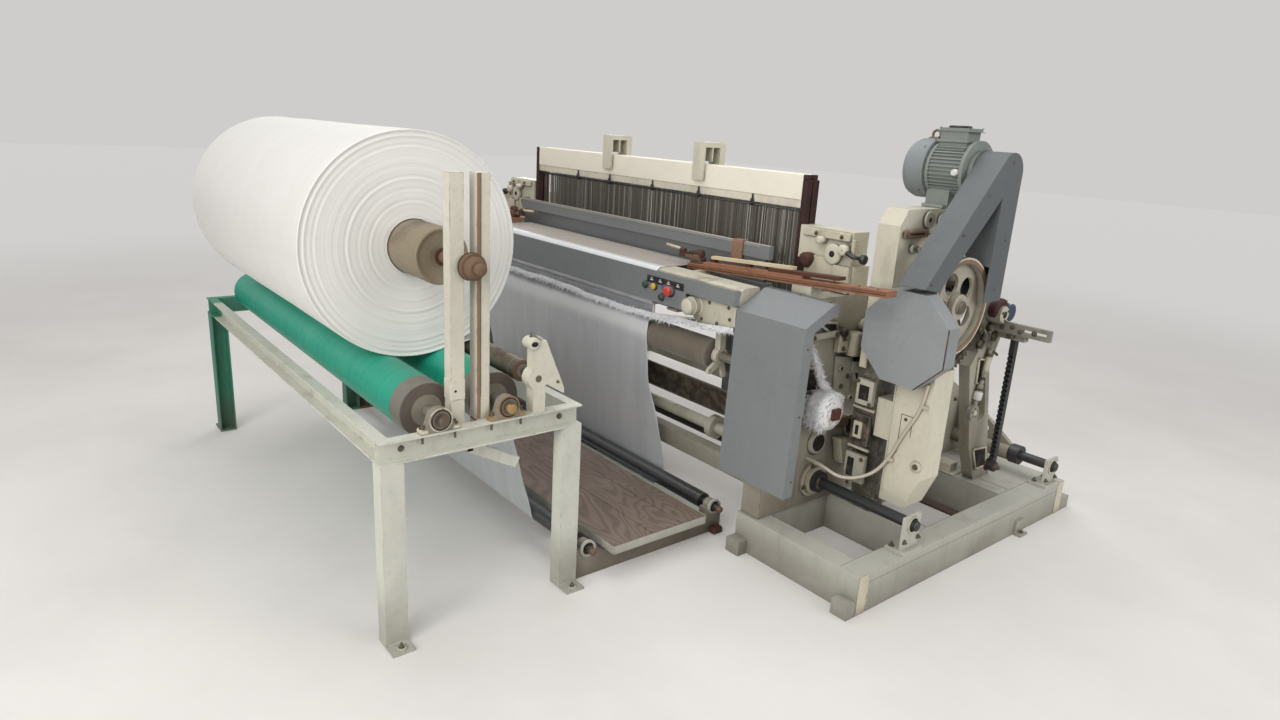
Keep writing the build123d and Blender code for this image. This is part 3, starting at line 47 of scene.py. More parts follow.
# Colours as seen on the plant, in sRGB
CREAM = (200, 196, 178)
CREAM_PALE = (222, 217, 198)
RUST = (104, 74, 54)
RUST_DARK = (66, 44, 36)
BACKDROP = (207, 205, 203)

# Every material of the plant, by a short name
M = {}


def show(name, data):
    thing = bpy.data.objects.new(name, data)
    bpy.context.collection.objects.link(thing)
    return thing


def camera():
    """Camera at the photograph's angle."""
    forward = Vector((-sin(YAW) * cos(PITCH), cos(YAW) * cos(PITCH), -sin(PITCH)))
    level = Vector((cos(YAW), sin(YAW), 0))
    upright = level.cross(forward)
    right = cos(ROLL) * level + sin(ROLL) * upright
    up = -sin(ROLL) * level + cos(ROLL) * upright
    data = bpy.data.cameras.new("camera")
    data.sensor_width = SENSOR_MM
    data.lens = SENSOR_MM * FOCAL_PIXELS / IMAGE_PIXELS
    data.clip_end = 100
    cam = show("camera", data)
    turn = Matrix((right, up, -forward)).transposed()
    cam.matrix_world = Matrix.Translation(CAMERA_PLACE) @ turn.to_4x4()
    bpy.context.scene.camera = cam


def linear(colour):
    """An sRGB colour in 0 to 255 as the linear one that the shader takes."""
    parts = [value / 255 for value in colour]
    return (*(p / 12.92 if p <= 0.04045 else ((p + 0.055) / 1.055) ** 2.4 for p in parts), 1.0)


def darker(colour, share):
    return linear(tuple(c * share for c in colour))


class Nodes:
    """Short names for building a shader. A value may be a number or another node's socket."""

    def __init__(self, name):
        self.name = name
        self.material = bpy.data.materials.new(name)
        self.material.use_nodes = True
        self.tree = self.material.node_tree
        self.shader = self.tree.nodes["Principled BSDF"]
        self.place = self.new("TexCoord").outputs["Object"]

    def fill(self, socket, value):
        if isinstance(value, bpy.types.NodeSocket):
            self.tree.links.new(value, socket)
        else:
            socket.default_value = value

    def new(self, kind, inputs=(), **settings):
        node = self.tree.nodes.new("ShaderNode" + kind)
        for key, value in settings.items():
            setattr(node, key, value)
        for key, value in dict(inputs).items():
            self.fill(node.inputs[key], value)
        return node

    def stretch(self, *scale):
        return self.new("Mapping", {"Vector": self.place, "Scale": scale}).outputs["Vector"]

    def noise(self, scale, detail=4.0, rough=0.55, vector=None, warp=0.0):
        return self.new("TexNoise", {"Vector": vector or self.place, "Scale": scale, "Detail": detail,
                                     "Roughness": rough, "Distortion": warp}).outputs["Fac"]

    def wave(self, scale, axis, warp, detail, vector=None):
        return self.new("TexWave", {"Vector": vector or self.place, "Scale": scale, "Distortion": warp,
                                    "Detail": detail}, bands_direction=axis).outputs["Fac"]

    def band(self, value, low, high):
        """0 below low, 1 above high, smooth between; swapped limits turn it round."""
        ends = ({"From Min": low, "From Max": high} if low <= high else
                {"From Min": high, "From Max": low, "To Min": 1.0, "To Max": 0.0})
        return self.new("MapRange", {"Value": value, **ends}, interpolation_type="SMOOTHSTEP").outputs["Result"]

    def blend(self, share, low, high):
        """A number between low and high."""
        return self.new("MapRange", {"Value": share, "To Min": low, "To Max": high}).outputs["Result"]

    def math(self, how, first, second=0.0):
        return self.new("Math", {0: first, 1: second}, operation=how).outputs[0]

    def times(self, first, second):
        return self.math("MULTIPLY", first, second)

    def mix(self, share, first, second):
        return self.new("Mix", {"Factor": share, "A": first, "B": second}, data_type="RGBA").outputs["Result"]

    def axis(self, name):
        return self.new("SeparateXYZ", {"Vector": self.place}).outputs[name]

    def edges(self, radius=0.006):
        """Mask of the outer edges, where paint wears first."""
        bevel = self.new("Bevel", {"Radius": radius}, samples=4).outputs["Normal"]
        normal = self.new("NewGeometry").outputs["Normal"]
        return self.band(self.new("VectorMath", {0: bevel, 1: normal}, operation="DOT_PRODUCT").outputs["Value"],
                         0.995, 0.90)

    def bump(self, height, strength, distance, base=None):
        inputs = {"Strength": strength, "Distance": distance, "Height": height}
        if base is not None:
            inputs["Normal"] = base
        return self.new("Bump", inputs).outputs["Normal"]

    def done(self, colour, rough=None, metal=None, normal=None):
        for name, value in (("Base Color", colour), ("Roughness", rough), ("Metallic", metal), ("Normal", normal)):
            if value is not None:
                self.fill(self.shader.inputs[name], value)
        M[self.name] = self.material
        return self.material


def paint(name, colour, rough, stains, rust, low, wear, cast=False, left_colour=None, grime_and_shade=0.0, oil_below=None):
    """Old machine paint: mottled, stained, rust coming through at edges and in spots.
    low is the height below which dirt gathers; cast gives the lumpy skin of a casting;
    left_colour is that of the far end; grime_and_shade is how much oily dirt and painted shade
    sit in the corners that the surroundings close in on, oil_below the height under which oil has covered the paint."""
    n = Nodes(name)
    base = linear(colour)
    if left_colour is not None:
        base = n.mix(n.band(n.axis("X"), -0.95, -1.0), base, linear(left_colour))
    broad = n.noise(2.3, 6, 0.6, warp=0.4)
    fine = n.noise(38, 5, 0.6)
    streak = n.noise(9, 5, 0.6, n.stretch(1, 1, 0.16))
    mottle = darker(colour, 0.66)
    shade = n.mix(n.times(n.band(broad, 0.42, 0.68), 0.34 * stains + 0.06), base, mottle)
    shade = n.mix(n.times(n.band(streak, 0.52, 0.72), 0.55 * stains), shade, linear((112, 98, 80)))
    shade = n.mix(n.times(n.band(fine, 0.5, 0.75), 0.12 + 0.1 * stains), shade, mottle)
    if low > 0:
        shade = n.mix(n.times(n.band(n.axis("Z"), low, low * 0.2), n.blend(broad, 0.1, 0.75)), shade,
                      linear((96, 84, 70)))
    spots = n.times(n.band(n.noise(17, 8, 0.7), 0.66, 0.74), n.band(n.noise(3.1, 2), 0.42, 0.6))
    chipped = n.times(n.edges(), n.band(n.noise(26, 6, 0.7), 0.62 - 0.2 * wear, 0.70))
    rusty = n.math("MAXIMUM", n.times(spots, rust), n.times(chipped, wear))
    shade = n.mix(rusty, shade, n.mix(n.noise(60, 4), linear(RUST), linear(RUST_DARK)))
    if oil_below is not None:
        height = n.math("ADD", n.axis("Z"), n.times(broad, 0.25))
        oiled = n.times(n.band(height, oil_below + 0.16, oil_below + 0.08), n.blend(fine, 0.75, 1.0))
        shade = n.mix(oiled, shade, n.mix(n.band(n.noise(21, 6, 0.7), 0.48, 0.66), linear((50, 46, 41)),
                                          linear((128, 122, 108))))
    if grime_and_shade > 0:
        # Oily dirt and painted shade: darker where ambient occlusion finds the surroundings close in
        open_air = n.new("AmbientOcclusion", {"Distance": 0.09}, samples=4).outputs["AO"]
        oily = n.times(n.band(n.math("SUBTRACT", 1.0, open_air), 0.18, 0.70),
                       n.blend(n.noise(13, 6, 0.65), 0.2, 1.25))
        shade = n.mix(n.times(oily, grime_and_shade), shade, linear((52, 46, 38)))
    skin = n.bump(n.noise(70 if cast else 150, 4, 0.6), 0.35 if cast else 0.12, 0.002)
    dull = n.math("MAXIMUM", rusty, n.band(broad, 0.3, 0.8))
    n.done(shade, n.blend(dull, rough, rough + 0.25), None, n.bump(rusty, 0.25, 0.001, skin))


def steel(name, colour, rough, rust, along="X", metal=0.85):
    """Turned or drawn steel with fine marks round its axis and rust blooms."""
    n = Nodes(name)
    marks = n.noise(4, 4, 0.6, n.stretch(*(90 if axis == along else 3 for axis in "XYZ")))
    bloom = n.times(n.band(n.noise(7, 8, 0.7), 0.50, 0.66), rust)
    shade = n.mix(n.blend(marks, 0.0, 0.6), linear(colour), darker(colour, 0.72))
    shade = n.mix(bloom, shade, n.mix(n.noise(50, 4), linear(RUST), linear(RUST_DARK)))
    n.done(shade, n.blend(n.math("ADD", bloom, n.times(marks, 0.4)), rough, 0.8),
           n.blend(bloom, metal, 0.1), n.bump(marks, 0.1, 0.0006))


def grease(name, colour):
    """Dark oily castings and gears with lighter worn places."""
    n = Nodes(name)
    lumps = n.noise(22, 7, 0.65)
    shade = n.mix(n.band(lumps, 0.42, 0.66), linear(colour), linear((118, 106, 88)))
    shade = n.mix(n.times(n.edges(0.004), 0.6), shade, linear((158, 152, 138)))
    shade = n.mix(n.band(n.noise(11, 5), 0.6, 0.7), shade, linear(RUST_DARK))
    n.done(shade, n.blend(lumps, 0.25, 0.75), 0.25, n.bump(lumps, 0.5, 0.003))


def plastic(name, colour, rough, coat=0.2):
    """Moulded plastic with faint dust."""
    n = Nodes(name)
    dust = n.noise(30, 6, 0.6)
    n.shader.inputs["Coat Weight"].default_value = coat
    n.done(n.mix(n.times(n.band(dust, 0.45, 0.8), 0.22), linear(colour), linear((176, 168, 152))),
           n.blend(dust, rough, rough + 0.2), None, n.bump(dust, 0.05, 0.0005))


def wood(name, colour, dark, scale=1.0, patches=0.6):
    """Planed wood with its grain along X, darkened by oil."""
    n = Nodes(name)
    grain = n.wave(11 * scale, "Z", 7, 4, n.stretch(0.5, 6, 9))
    fibres = n.noise(60 * scale, 4, 0.6, n.stretch(0.06, 1, 1))
    shade = n.mix(n.blend(grain, 0.05, 0.7), linear(colour), linear(dark))
    shade = n.mix(n.times(n.band(n.noise(6, 5), 0.5, 0.72), patches), shade, darker(dark, 0.6))
    n.done(shade, n.blend(fibres, 0.4, 0.75), None, n.bump(fibres, 0.2, 0.0012))


def figured(name, colour, dark):
    """Wide plank with the looped figure of flat-sawn wood, trodden and dusty."""
    n = Nodes(name)
    loops = n.math("SINE", n.times(n.noise(1.0, 3, 0.45, n.stretch(1.0, 3.0, 1.0), 0.5), 210.0))
    fibres = n.noise(46, 4, 0.6, n.stretch(0.07, 1, 1))
    shade = n.mix(n.times(n.band(loops, -0.4, 1.0), 0.6), linear(colour), linear(dark))
    shade = n.mix(n.blend(fibres, 0.0, 0.45), shade, linear(dark))
    shade = n.mix(n.times(n.band(n.noise(4, 5, 0.6), 0.5, 0.72), 0.3), shade, linear((150, 140, 130)))
    n.done(shade, n.blend(fibres, 0.45, 0.75), None, n.bump(fibres, 0.2, 0.0012))


def rubber(name, colour):
    """Coloured rubber cover: rub marks round the roller, dulled by lint."""
    n = Nodes(name)
    rings = n.noise(3, 5, 0.6, n.stretch(16, 1.5, 1.5))
    lint = n.band(n.noise(80, 3, 0.7), 0.62, 0.74)
    shade = n.mix(n.blend(rings, 0, 0.5), linear(colour), darker(colour, 0.62))
    shade = n.mix(n.times(n.band(n.noise(2.0, 4), 0.5, 0.7), 0.35), shade, linear((92, 176, 152)))
    shade = n.mix(n.times(lint, 0.25), shade, linear((180, 190, 180)))
    n.done(shade, n.blend(rings, 0.32, 0.55), None, n.bump(rings, 0.08, 0.001))


def weave(name, colour, dark, scale, rough, metal=0.0, sheen=0.3, bands=0.3, glow=None):
    """Plain-woven cloth: threads both ways, slow shade bands across the web. glow is the
    height of a painted highlight where the cloth bends over a roller, with painted shade on the cloth above it."""
    n = Nodes(name)
    threads = n.times(n.wave(scale / 6.28, "X", 0.4, 1), n.wave(scale / 6.28, "Z", 0.4, 1))
    slow = n.noise(3, 5, 0.6, n.stretch(5, 0.5, 0.5))
    shade = n.mix(n.blend(slow, 0.0, bands * 2), linear(colour), linear(dark))
    shade = n.mix(n.times(n.band(n.noise(14, 6), 0.5, 0.8), 0.2), shade, linear(dark))
    shade = n.mix(n.blend(threads, 0.0, 0.16), shade, darker(dark, 0.55))
    if glow is not None:
        # Painted highlight in a band at the glow height, and painted shade on the web above it near the loom
        z = n.math("ADD", n.axis("Z"), n.times(n.noise(4, 3, 0.5), 0.03))
        painted_highlight = n.times(n.band(z, glow - 0.075, glow - 0.005), n.band(z, glow + 0.035, glow + 0.010))
        shade = n.mix(n.times(painted_highlight, 0.8), shade, linear((246, 248, 250)))
        painted_shade_above = n.times(n.band(z, glow + 0.020, glow + 0.045), n.band(n.axis("Y"), -0.5, -0.3))
        shade = n.mix(n.times(painted_shade_above, 0.8), shade, linear((116, 119, 124)))
    n.shader.inputs["Sheen Weight"].default_value = sheen
    n.done(shade, n.blend(slow, rough, rough + 0.18), metal, n.bump(threads, 0.15, 0.0008))


def foil(name):
    """Shining flat tape wound in a bundle: streaks of painted highlight and painted shade round the X axis."""
    n = Nodes(name)
    streaks = n.noise(5, 6, 0.7, n.stretch(42, 3, 3), 1.5)
    ragged = n.noise(30, 6, 0.7, n.stretch(5, 1, 1), 2.0)
    both = n.times(n.math("ADD", streaks, ragged), 0.5)
    n.shader.inputs["Coat Weight"].default_value = 0.3
    n.done(n.mix(n.band(both, 0.38, 0.50), linear((120, 122, 130)), linear((252, 252, 253))),
           n.blend(streaks, 0.22, 0.5), 0.05, n.bump(both, 0.9, 0.006))


# paint: colour, roughness, stains, rust, height of floor dirt, wear at the edges
paint("cream", CREAM, 0.45, 1.0, 0.6, 0.45, 0.9, cast=True, grime_and_shade=1.0)
paint("cream_oily", (184, 179, 163), 0.42, 0.9, 0.6, 0.5, 1.0, cast=True, grime_and_shade=1.0)
paint("stand", CREAM_PALE, 0.40, 0.5, 0.4, 0.0, 0.6, grime_and_shade=0.9, oil_below=0.86)
paint("cream_pale", CREAM_PALE, 0.40, 0.4, 0.3, 0.0, 0.5, grime_and_shade=0.7)
paint("winder", (208, 209, 198), 0.42, 0.45, 0.35, 0.25, 0.7, left_colour=(38, 132, 104))
paint("posts", (214, 210, 194), 0.42, 0.55, 0.5, 0.0, 0.9, grime_and_shade=0.5)
paint("base", (192, 192, 182), 0.48, 0.45, 0.25, 0.2, 0.5, grime_and_shade=0.5)
paint("sheet", (131, 135, 137), 0.40, 0.16, 0.05, 0.0, 0.18)
paint("guard", (100, 105, 108), 0.42, 0.2, 0.05, 0.0, 0.2)
paint("motor", (140, 147, 149), 0.42, 0.25, 0.05, 0.0, 0.2)
paint("motor_body", (142, 150, 144), 0.45, 0.4, 0.08, 0.0, 0.2, cast=True)
paint("rust", (116, 92, 72), 0.7, 0.7, 0.8, 0.0, 0.6, cast=True)
paint("rust_dark", (78, 50, 40), 0.65, 0.7, 0.6, 0.0, 0.4, cast=True)
paint("edge_green", (150, 172, 124), 0.5, 0.5, 0.3, 0.0, 0.5)
paint("heald_rail", (232, 226, 208), 0.4, 0.5, 0.4, 0.0, 0.5)
paint("copper_brown", (152, 118, 98), 0.5, 0.7, 0.4, 0.0, 0.5)
paint("octagon", (150, 155, 157), 0.42, 0.12, 0.05, 0.0, 0.15)
paint("brown_strip", (140, 112, 90), 0.6, 0.8, 0.7, 0.0, 0.6, cast=True)
paint("red_brown", (70, 34, 32), 0.5, 0.5, 0.3, 0.0, 0.3, cast=True)
paint("pulley_blue", (62, 74, 100), 0.42, 0.5, 0.2, 0.0, 0.5)
paint("floor_steel", (150, 142, 130), 0.6, 0.9, 1.0, 0.12, 0.8, cast=True, grime_and_shade=0.6)
paint("end_disc", (96, 88, 80), 0.6, 0.7, 0.5, 0.0, 0.3, cast=True)
paint("end_light", (138, 132, 120), 0.5, 0.6, 0.4, 0.0, 0.3, cast=True)
paint("brown_bar", (74, 56, 48), 0.6, 0.6, 0.6, 0.0, 0.4, cast=True)
paint("worn_cream", (216, 208, 186), 0.45, 0.9, 0.8, 0.0, 1.0, cast=True, grime_and_shade=1.0)
paint("yellow_rust", (166, 134, 88), 0.6, 0.9, 0.9, 0.0, 0.9, cast=True)
# steel: colour, roughness, rust
steel("roller_steel", (104, 106, 106), 0.26, 0.12)
steel("steel_dirty", (132, 124, 110), 0.48, 0.75)
steel("steel_dark", (86, 88, 90), 0.36, 0.25)
steel("sleeve", (146, 142, 132), 0.5, 0.35, metal=0.45)
steel("bolt", (128, 120, 106), 0.5, 0.6)
steel("bezel", (96, 98, 100), 0.4, 0.1)
steel("wire_dark", (122, 118, 110), 0.5, 0.1, "Z", 0.25)
steel("wire_pale", (182, 178, 169), 0.4, 0.15, "Z", 0.25)
steel("wire_brown", (110, 100, 89), 0.5, 0.2, "Z", 0.25)
steel("reed_dark", (136, 139, 142), 0.4, 0.05, "Z", 0.5)
steel("steel_worn", (176, 173, 162), 0.45, 0.35, "Y", 0.35)
grease("grease", (52, 48, 44))
grease("pan", (62, 55, 50))
wood("track", (168, 120, 90), (112, 72, 52))
wood("pale_wood", (228, 218, 186), (196, 178, 138), patches=0.25)
wood("brown_wood", (96, 52, 38), (54, 28, 22))
wood("card", (150, 138, 116), (110, 98, 80), 1.5)
wood("heald_board", (255, 250, 236), (250, 242, 222), 0.5, 0.08)
wood("stile", (66, 34, 28), (38, 20, 18), 1.0)
figured("board", (132, 116, 105), (92, 79, 71))
rubber("rubber", (28, 166, 138))
foil("foil")
# weave: colour, shaded colour, threads, roughness, metal, sheen
weave("cloth", (224, 227, 230), (176, 179, 184), 900, 0.32, 0.3, 0.2, glow=0.80)
# The web's cloth on the breast, tinted brownish grey: painted reflection
weave("cloth_brown", (184, 175, 166), (152, 142, 134), 900, 0.42, 0.2, 0.2)
# Painted highlight for the cloth where it turns over the nose
weave("cloth_white", (246, 247, 249), (214, 217, 222), 900, 0.25, 0.3, 0.2)
weave("roll", (240, 239, 236), (214, 210, 205), 700, 0.42, 0.0, 0.3, 0.2)
weave("yarn", (240, 241, 244), (206, 208, 214), 1500, 0.35, 0.0, 0.5)
weave("wrap", (132, 120, 104), (98, 88, 76), 600, 0.8, 0.0, 0.4, 0.5)
# plastic: colour, roughness, clear coat
plastic("conduit", (196, 188, 172), 0.45)
plastic("black", (26, 26, 27), 0.4)
plastic("button_green", (30, 74, 48), 0.3, 0.6)
plastic("button_yellow", (236, 190, 44), 0.3, 0.6)
plastic("button_blue", (46, 84, 148), 0.3, 0.6)
plastic("button_red", (222, 52, 36), 0.3, 0.6)
plastic("button_black", (52, 54, 52), 0.35, 0.3)
plastic("label_pale", (226, 226, 222), 0.5, 0.0)
plastic("track_edge", (74, 44, 32), 0.6, 0.0)
plastic("thread", (244, 245, 248), 0.5, 0.0)
plastic("base_seam", (120, 122, 110), 0.6, 0.0)
# Near black for the shade inside holes, recesses, openings and gaps, painted as colour; also the dark of seams and
# plank joints
plastic("dark_hole", (28, 25, 22), 0.8, 0.0)


def lamp(name, place, aim, size, power, colour=(1, 1, 1)):
    data = bpy.data.lights.new(name, "AREA")
    data.shape = "RECTANGLE"
    data.size, data.size_y = size
    data.energy = power
    data.color = colour
    way = Vector(aim) - Vector(place)
    show(name, data).matrix_world = Matrix.Translation(place) @ way.to_track_quat("-Z", "Y").to_matrix().to_4x4()


def studio():
    """Pale floor that fades into grey surroundings, and soft lamps."""
    world = bpy.data.worlds.new("studio")
    world.use_nodes = True
    tree = world.node_tree
    back = tree.nodes["Background"]
    back.inputs["Color"].default_value = linear(BACKDROP)
    rays = tree.nodes.new("ShaderNodeLightPath")
    seen = tree.nodes.new("ShaderNodeMath")
    seen.operation = "MAXIMUM"
    level = tree.nodes.new("ShaderNodeMapRange")
    level.inputs["To Min"].default_value = 0.62
    level.inputs["To Max"].default_value = 1.0
    for source, target in ((rays.outputs["Is Camera Ray"], seen.inputs[0]),
                           (rays.outputs["Is Glossy Ray"], seen.inputs[1]),
                           (seen.outputs[0], level.inputs["Value"]),
                           (level.outputs["Result"], back.inputs["Strength"])):
        tree.links.new(source, target)
    bpy.context.scene.world = world
    bpy.context.scene.view_settings.view_transform = "Standard"
    bpy.ops.mesh.primitive_plane_add(size=60, location=(0, 0, 0))
    floor = bpy.context.object
    floor.name = "floor"
    n = Nodes("floor")
    shade = n.mix(n.band(n.noise(0.9, 5, 0.6), 0.35, 0.7), linear((222, 219, 216)), linear((213, 210, 207)))
    far = n.band(n.new("VectorMath", {0: n.place}, operation="LENGTH").outputs["Value"], 2.4, 9.0)
    n.fill(n.shader.inputs["Emission Color"], linear(BACKDROP))
    n.fill(n.shader.inputs["Emission Strength"],
           n.times(n.new("LightPath").outputs["Is Camera Ray"], n.blend(far, 0.12, 1.0)))
    n.shader.inputs["Specular IOR Level"].default_value = 0.1
    floor.data.materials.append(n.done(n.mix(far, shade, (0, 0, 0, 1)), 0.85))
    warm = (1, 0.985, 0.96)
    lamp("key", (3.6, -4.6, 4.6), (0.2, 0.0, 0.8), (3.4, 3.4), 150, warm)
    lamp("front", (2.2, -5.2, 1.7), (0.2, 0.0, 0.7), (1.8, 1.4), 62, warm)
    lamp("fill", (5.4, 1.4, 2.6), (0.8, 0.2, 0.7), (3.0, 2.4), 60)
    lamp("top", (-0.4, 0.2, 5.6), (0, 0, 0.5), (5.0, 4.0), 112)
    lamp("back", (-4.6, 3.8, 3.4), (0, 0.2, 0.9), (3.2, 2.4), 70)


camera()
studio()

# Materials of the CAD nodes
NODE_MATERIALS = {
    "base": "base_frame_right base_frame_left", "board": "footboard", "brown_wood": "waste_reel",
    "card": "batch_core", "cloth": "cloth_fall cloth_rise", "cloth_brown": "cloth_breast", "conduit": "conduit",
    "cream": "breast_beam low_rails track_rests",
    "cream_oily": "side_frame_right side_frame_left flywheel outriggers lever_stand",
    "cream_pale": "heald_guides steady_beam columns heald_frame_front heald_frame_back",
    "end_light": "pillow_blocks", "floor_steel": "floor_frame", "grease": "crank_gear", "guard": "belt_guard",
    "motor": "motor_cowl", "motor_body": "motor", "octagon": "wheel_cover_right wheel_cover_left",
    "posts": "guide_posts spreader_brackets", "roll": "batch_cloth", "roller_steel": "low_roller_front low_roller_back",
    "rubber": "front_roller_rubber back_roller_rubber", "rust": "batch_shaft",
    "sheet": "breast_cover front_cover_right front_cover_left sley_beam reed_cap",
    "sleeve": "front_roller_core back_roller_core take_up_roller", "stand": "stands",
    "steel_dark": "front_cross_shaft back_cross_shaft reed heddles_front heddles_back notched_bar",
    "steel_dirty": "spreader_roller press_roller", "steel_worn": "lever_linkage", "track": "rapier_tracks",
    "winder": "winder_table winder_legs", "yarn": "waste_yarn",
}
for short, nodes in NODE_MATERIALS.items():
    for node in nodes.split():
        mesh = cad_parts[node].data
        mesh.materials.clear()
        mesh.materials.append(M[short])


def turns(count, start=0.0):
    """Angles that share out a full turn."""
    return [start + 2 * pi * k / count for k in range(count)]


class Piece:
    """A mesh put together from bevelled bars, turned profiles, plates, rods, bolts and welds.
    of() picks the material; with side = -1 the same numbers build the left end of the plant."""

    def __init__(self, name, body="frame", slot=None, bevel=0.0015):
        self.name, self.body, self.slot, self.bevel = name, body, slot, bevel
        self.mesh = bmesh.new()
        self.materials = []
        self.paint = 0
        self.side = 1

    def of(self, material):
        if material not in self.materials:
            self.materials.append(material)
        self.paint = self.materials.index(material)
        return self

    def at(self, point):
        return Vector((self.side * point[0], point[1], point[2]))

    def skin(self, rows, smooth=False, around=True):
        """Faces from each row of vertices to the next, closed round if the rows are rings."""
        for first, second in zip(rows, rows[1:]):
            for k in range(len(first) - (not around)):
                n = (k + 1) % len(first)
                face = self.mesh.faces.new((first[k], first[n], second[n], second[k]))
                face.smooth, face.material_index = smooth, self.paint

    def loft(self, rows, smooth=False, around=True, caps=True, closed=False):
        """A skin over rows of points; closed joins the last row to the first."""
        made = [[self.mesh.verts.new(point) for point in row] for row in rows]
        self.skin(made + made[:1] * closed, smooth, around)
        if caps and not closed:
            for row in (made[0], made[-1]):
                self.mesh.faces.new(row).material_index = self.paint
        return made

    def bar(self, x0, x1, y0, y1, z0, z1, bevel=None, turn=None):
        """A bar with its edges broken."""
        half = [abs(b - a) / 2 for a, b in ((x0, x1), (y0, y1), (z0, z1))]
        edge = min(self.bevel if bevel is None else bevel, min(half) * 0.9)
        place = Matrix.Translation(self.at(((x0 + x1) / 2, (y0 + y1) / 2, (z0 + z1) / 2)))
        if turn:
            place = turn @ place
        corners = {(*signs, k): self.mesh.verts.new(place @ Vector([s * (h - edge * (axis != k)) for axis, (s, h) in
                                                                    enumerate(zip(signs, half))]))
                   for signs in product((-1, 1), repeat=3) for k in range(3)}

        def corner(axis, along, across, k):
            signs = list(across)
            signs.insert(axis, along)
            return corners[(*signs, k)]

        rings = [[corners[(*signs, k)] for k in range(3)] for signs in product((-1, 1), repeat=3)]
        for axis, (i, j) in enumerate(((1, 2), (0, 2), (0, 1))):
            loop = ((-1, -1), (1, -1), (1, 1), (-1, 1))
            rings += [[corner(axis, s, across, axis) for across in loop] for s in (-1, 1)]
            rings += [[corner(axis, s, across, k) for s, k in ((-1, i), (1, i), (1, j), (-1, j))] for across in loop]
        for ring in rings:
            self.mesh.faces.new(ring).material_index = self.paint

    def bars(self, *rows):
        for row in rows:
            self.bar(*row)

    def turned(self, profile, centre, axis="X", segments=32, smooth=True, closed=False, wobble=None):
        """A profile of (distance along the axis, radius) turned round the axis through centre."""
        flip = self.side if axis == "X" else 1
        order = {"X": (0, 1, 2), "Y": (1, 0, 2), "Z": (1, 2, 0)}[axis]
        rows = []
        for along, radius in profile:
            row = []
            for angle in turns(segments):
                r = radius * (wobble(along * flip, angle) if wobble else 1.0)
                spot = (along * flip, r * cos(angle), r * sin(angle))
                row.append(self.at(centre) + Vector([spot[k] for k in order]))
            rows.append(row)
        self.loft(rows, smooth, closed=closed)

    def ring(self, x, width, inner, outer, y, z, segments=36):
        """A flat ring across X."""
        self.turned(((x, inner), (x, outer), (x + width, outer), (x + width, inner)), (0, y, z), segments=segments,
                    closed=True, smooth=False)

    def plate(self, outline, low, high, plane="YZ", edge=0.0):
        """A flat outline given thickness; plane YZ runs along X and XY along Z."""
        cx, cy = (sum(p[k] for p in outline) / len(outline) for k in (0, 1))
        rows = []
        for along, inset in ((low, edge), (low + edge, 0), (high - edge, 0), (high, edge)) if edge else (
                (low, 0), (high, 0)):
            row = []
            for a, b in outline:
                span = max(math.hypot(a - cx, b - cy), 1e-6)
                a, b = a - (a - cx) / span * inset, b - (b - cy) / span * inset
                row.append(self.at((along, a, b) if plane == "YZ" else (a, b, along)))
            rows.append(row)
        self.loft(rows)

    def rod(self, points, radius, segments=10):
        """A round rod through points, mitred at its corners."""
        points = [self.at(p) for p in points]
        rows = []
        side = None
        for k, spot in enumerate(points):
            way = (points[min(k + 1, len(points) - 1)] - points[max(k - 1, 0)]).normalized()
            if side is None:
                side = way.cross(Vector((0, 0, 1)) if abs(way.z) < 0.9 else Vector((0, 1, 0)))
            side = (side - way * side.dot(way)).normalized()
            other = way.cross(side)
            rows.append([spot + radius * (cos(a) * side + sin(a) * other) for a in turns(segments)])
        self.loft(rows, True)

    def stack(self, turn, levels, sides, smooth=False):
        """Rings of (height, radius) along the Z axis of turn."""
        self.loft([[turn @ Vector((radius * cos(a), radius * sin(a), along)) for a in turns(sides)]
                   for along, radius in levels], smooth)

    def bolt(self, place, way, size=0.010, thread=0.0, washer=True):
        """A hexagon head on a washer, looking along way; thread is how far the shank stands out."""
        way = self.at(way).normalized()
        turn = Matrix.Translation(self.at(place)) @ way.to_track_quat("Z", "Y").to_matrix().to_4x4()
        base = size * 0.16 if washer else 0
        top = base + size * 0.68
        if washer:
            self.stack(turn, ((0, size * 1.25), (base, size * 1.25)), 24)
        self.stack(turn, ((base, size * 0.98), (base + size * 0.55, size * 0.98), (top, size * 0.84)), 6)
        if thread:
            tip = top + thread
            self.stack(turn, ((top, size * 0.5), (tip, size * 0.5), (tip + size * 0.1, size * 0.42)), 12)

    def bolts(self, places, way, size, thread=0.0, washer=True):
        for place in places:
            self.bolt(place, way, size, thread, washer)

    def weld(self, start, end, radius, seed):
        """A bead of weld with its ripples along a line."""
        start, end = self.at(start), self.at(end)
        run = end - start
        count = max(6, int(run.length / 0.007))
        rng = random.Random(seed)
        way = run.normalized()
        side = way.cross(Vector((0, 0, 1)) if abs(way.z) < 0.9 else Vector((0, 1, 0))).normalized()
        other = way.cross(side)
        rows = []
        for k in range(count + 1):
            size = radius * (1.1 if k % 2 else 0.85) * rng.uniform(0.9, 1.12) * (0.4 if k in (0, count) else 1)
            rows.append([start + run * (k / count) + size * (cos(a) * side + sin(a) * other) for a in turns(7)])
        self.loft(rows, True)

    def done(self, *replaces):
        """Make the object, put it on its body and hide the CAD parts that it stands for."""
        bmesh.ops.recalc_face_normals(self.mesh, faces=self.mesh.faces)
        data = bpy.data.meshes.new(self.name)
        self.mesh.to_mesh(data)
        self.mesh.free()
        for material in self.materials:
            data.materials.append(M[material])
        piece = show(self.name, data)
        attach(piece, self.body)
        if replaces:
            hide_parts(*replaces)
        return piece


# The grey cable, along its way in the photograph
CONDUIT_ROUTE = [
    (1.3584, 0.200, 0.369), (1.4284, 0.200, 0.369), (1.520, 0.225, 0.330), (1.610, 0.2906, 0.365),
    (1.660, 0.3226, 0.450), (1.700, 0.3226, 0.560), (1.768, 0.3226, 0.690), (1.775, 0.3226, 0.784),
]


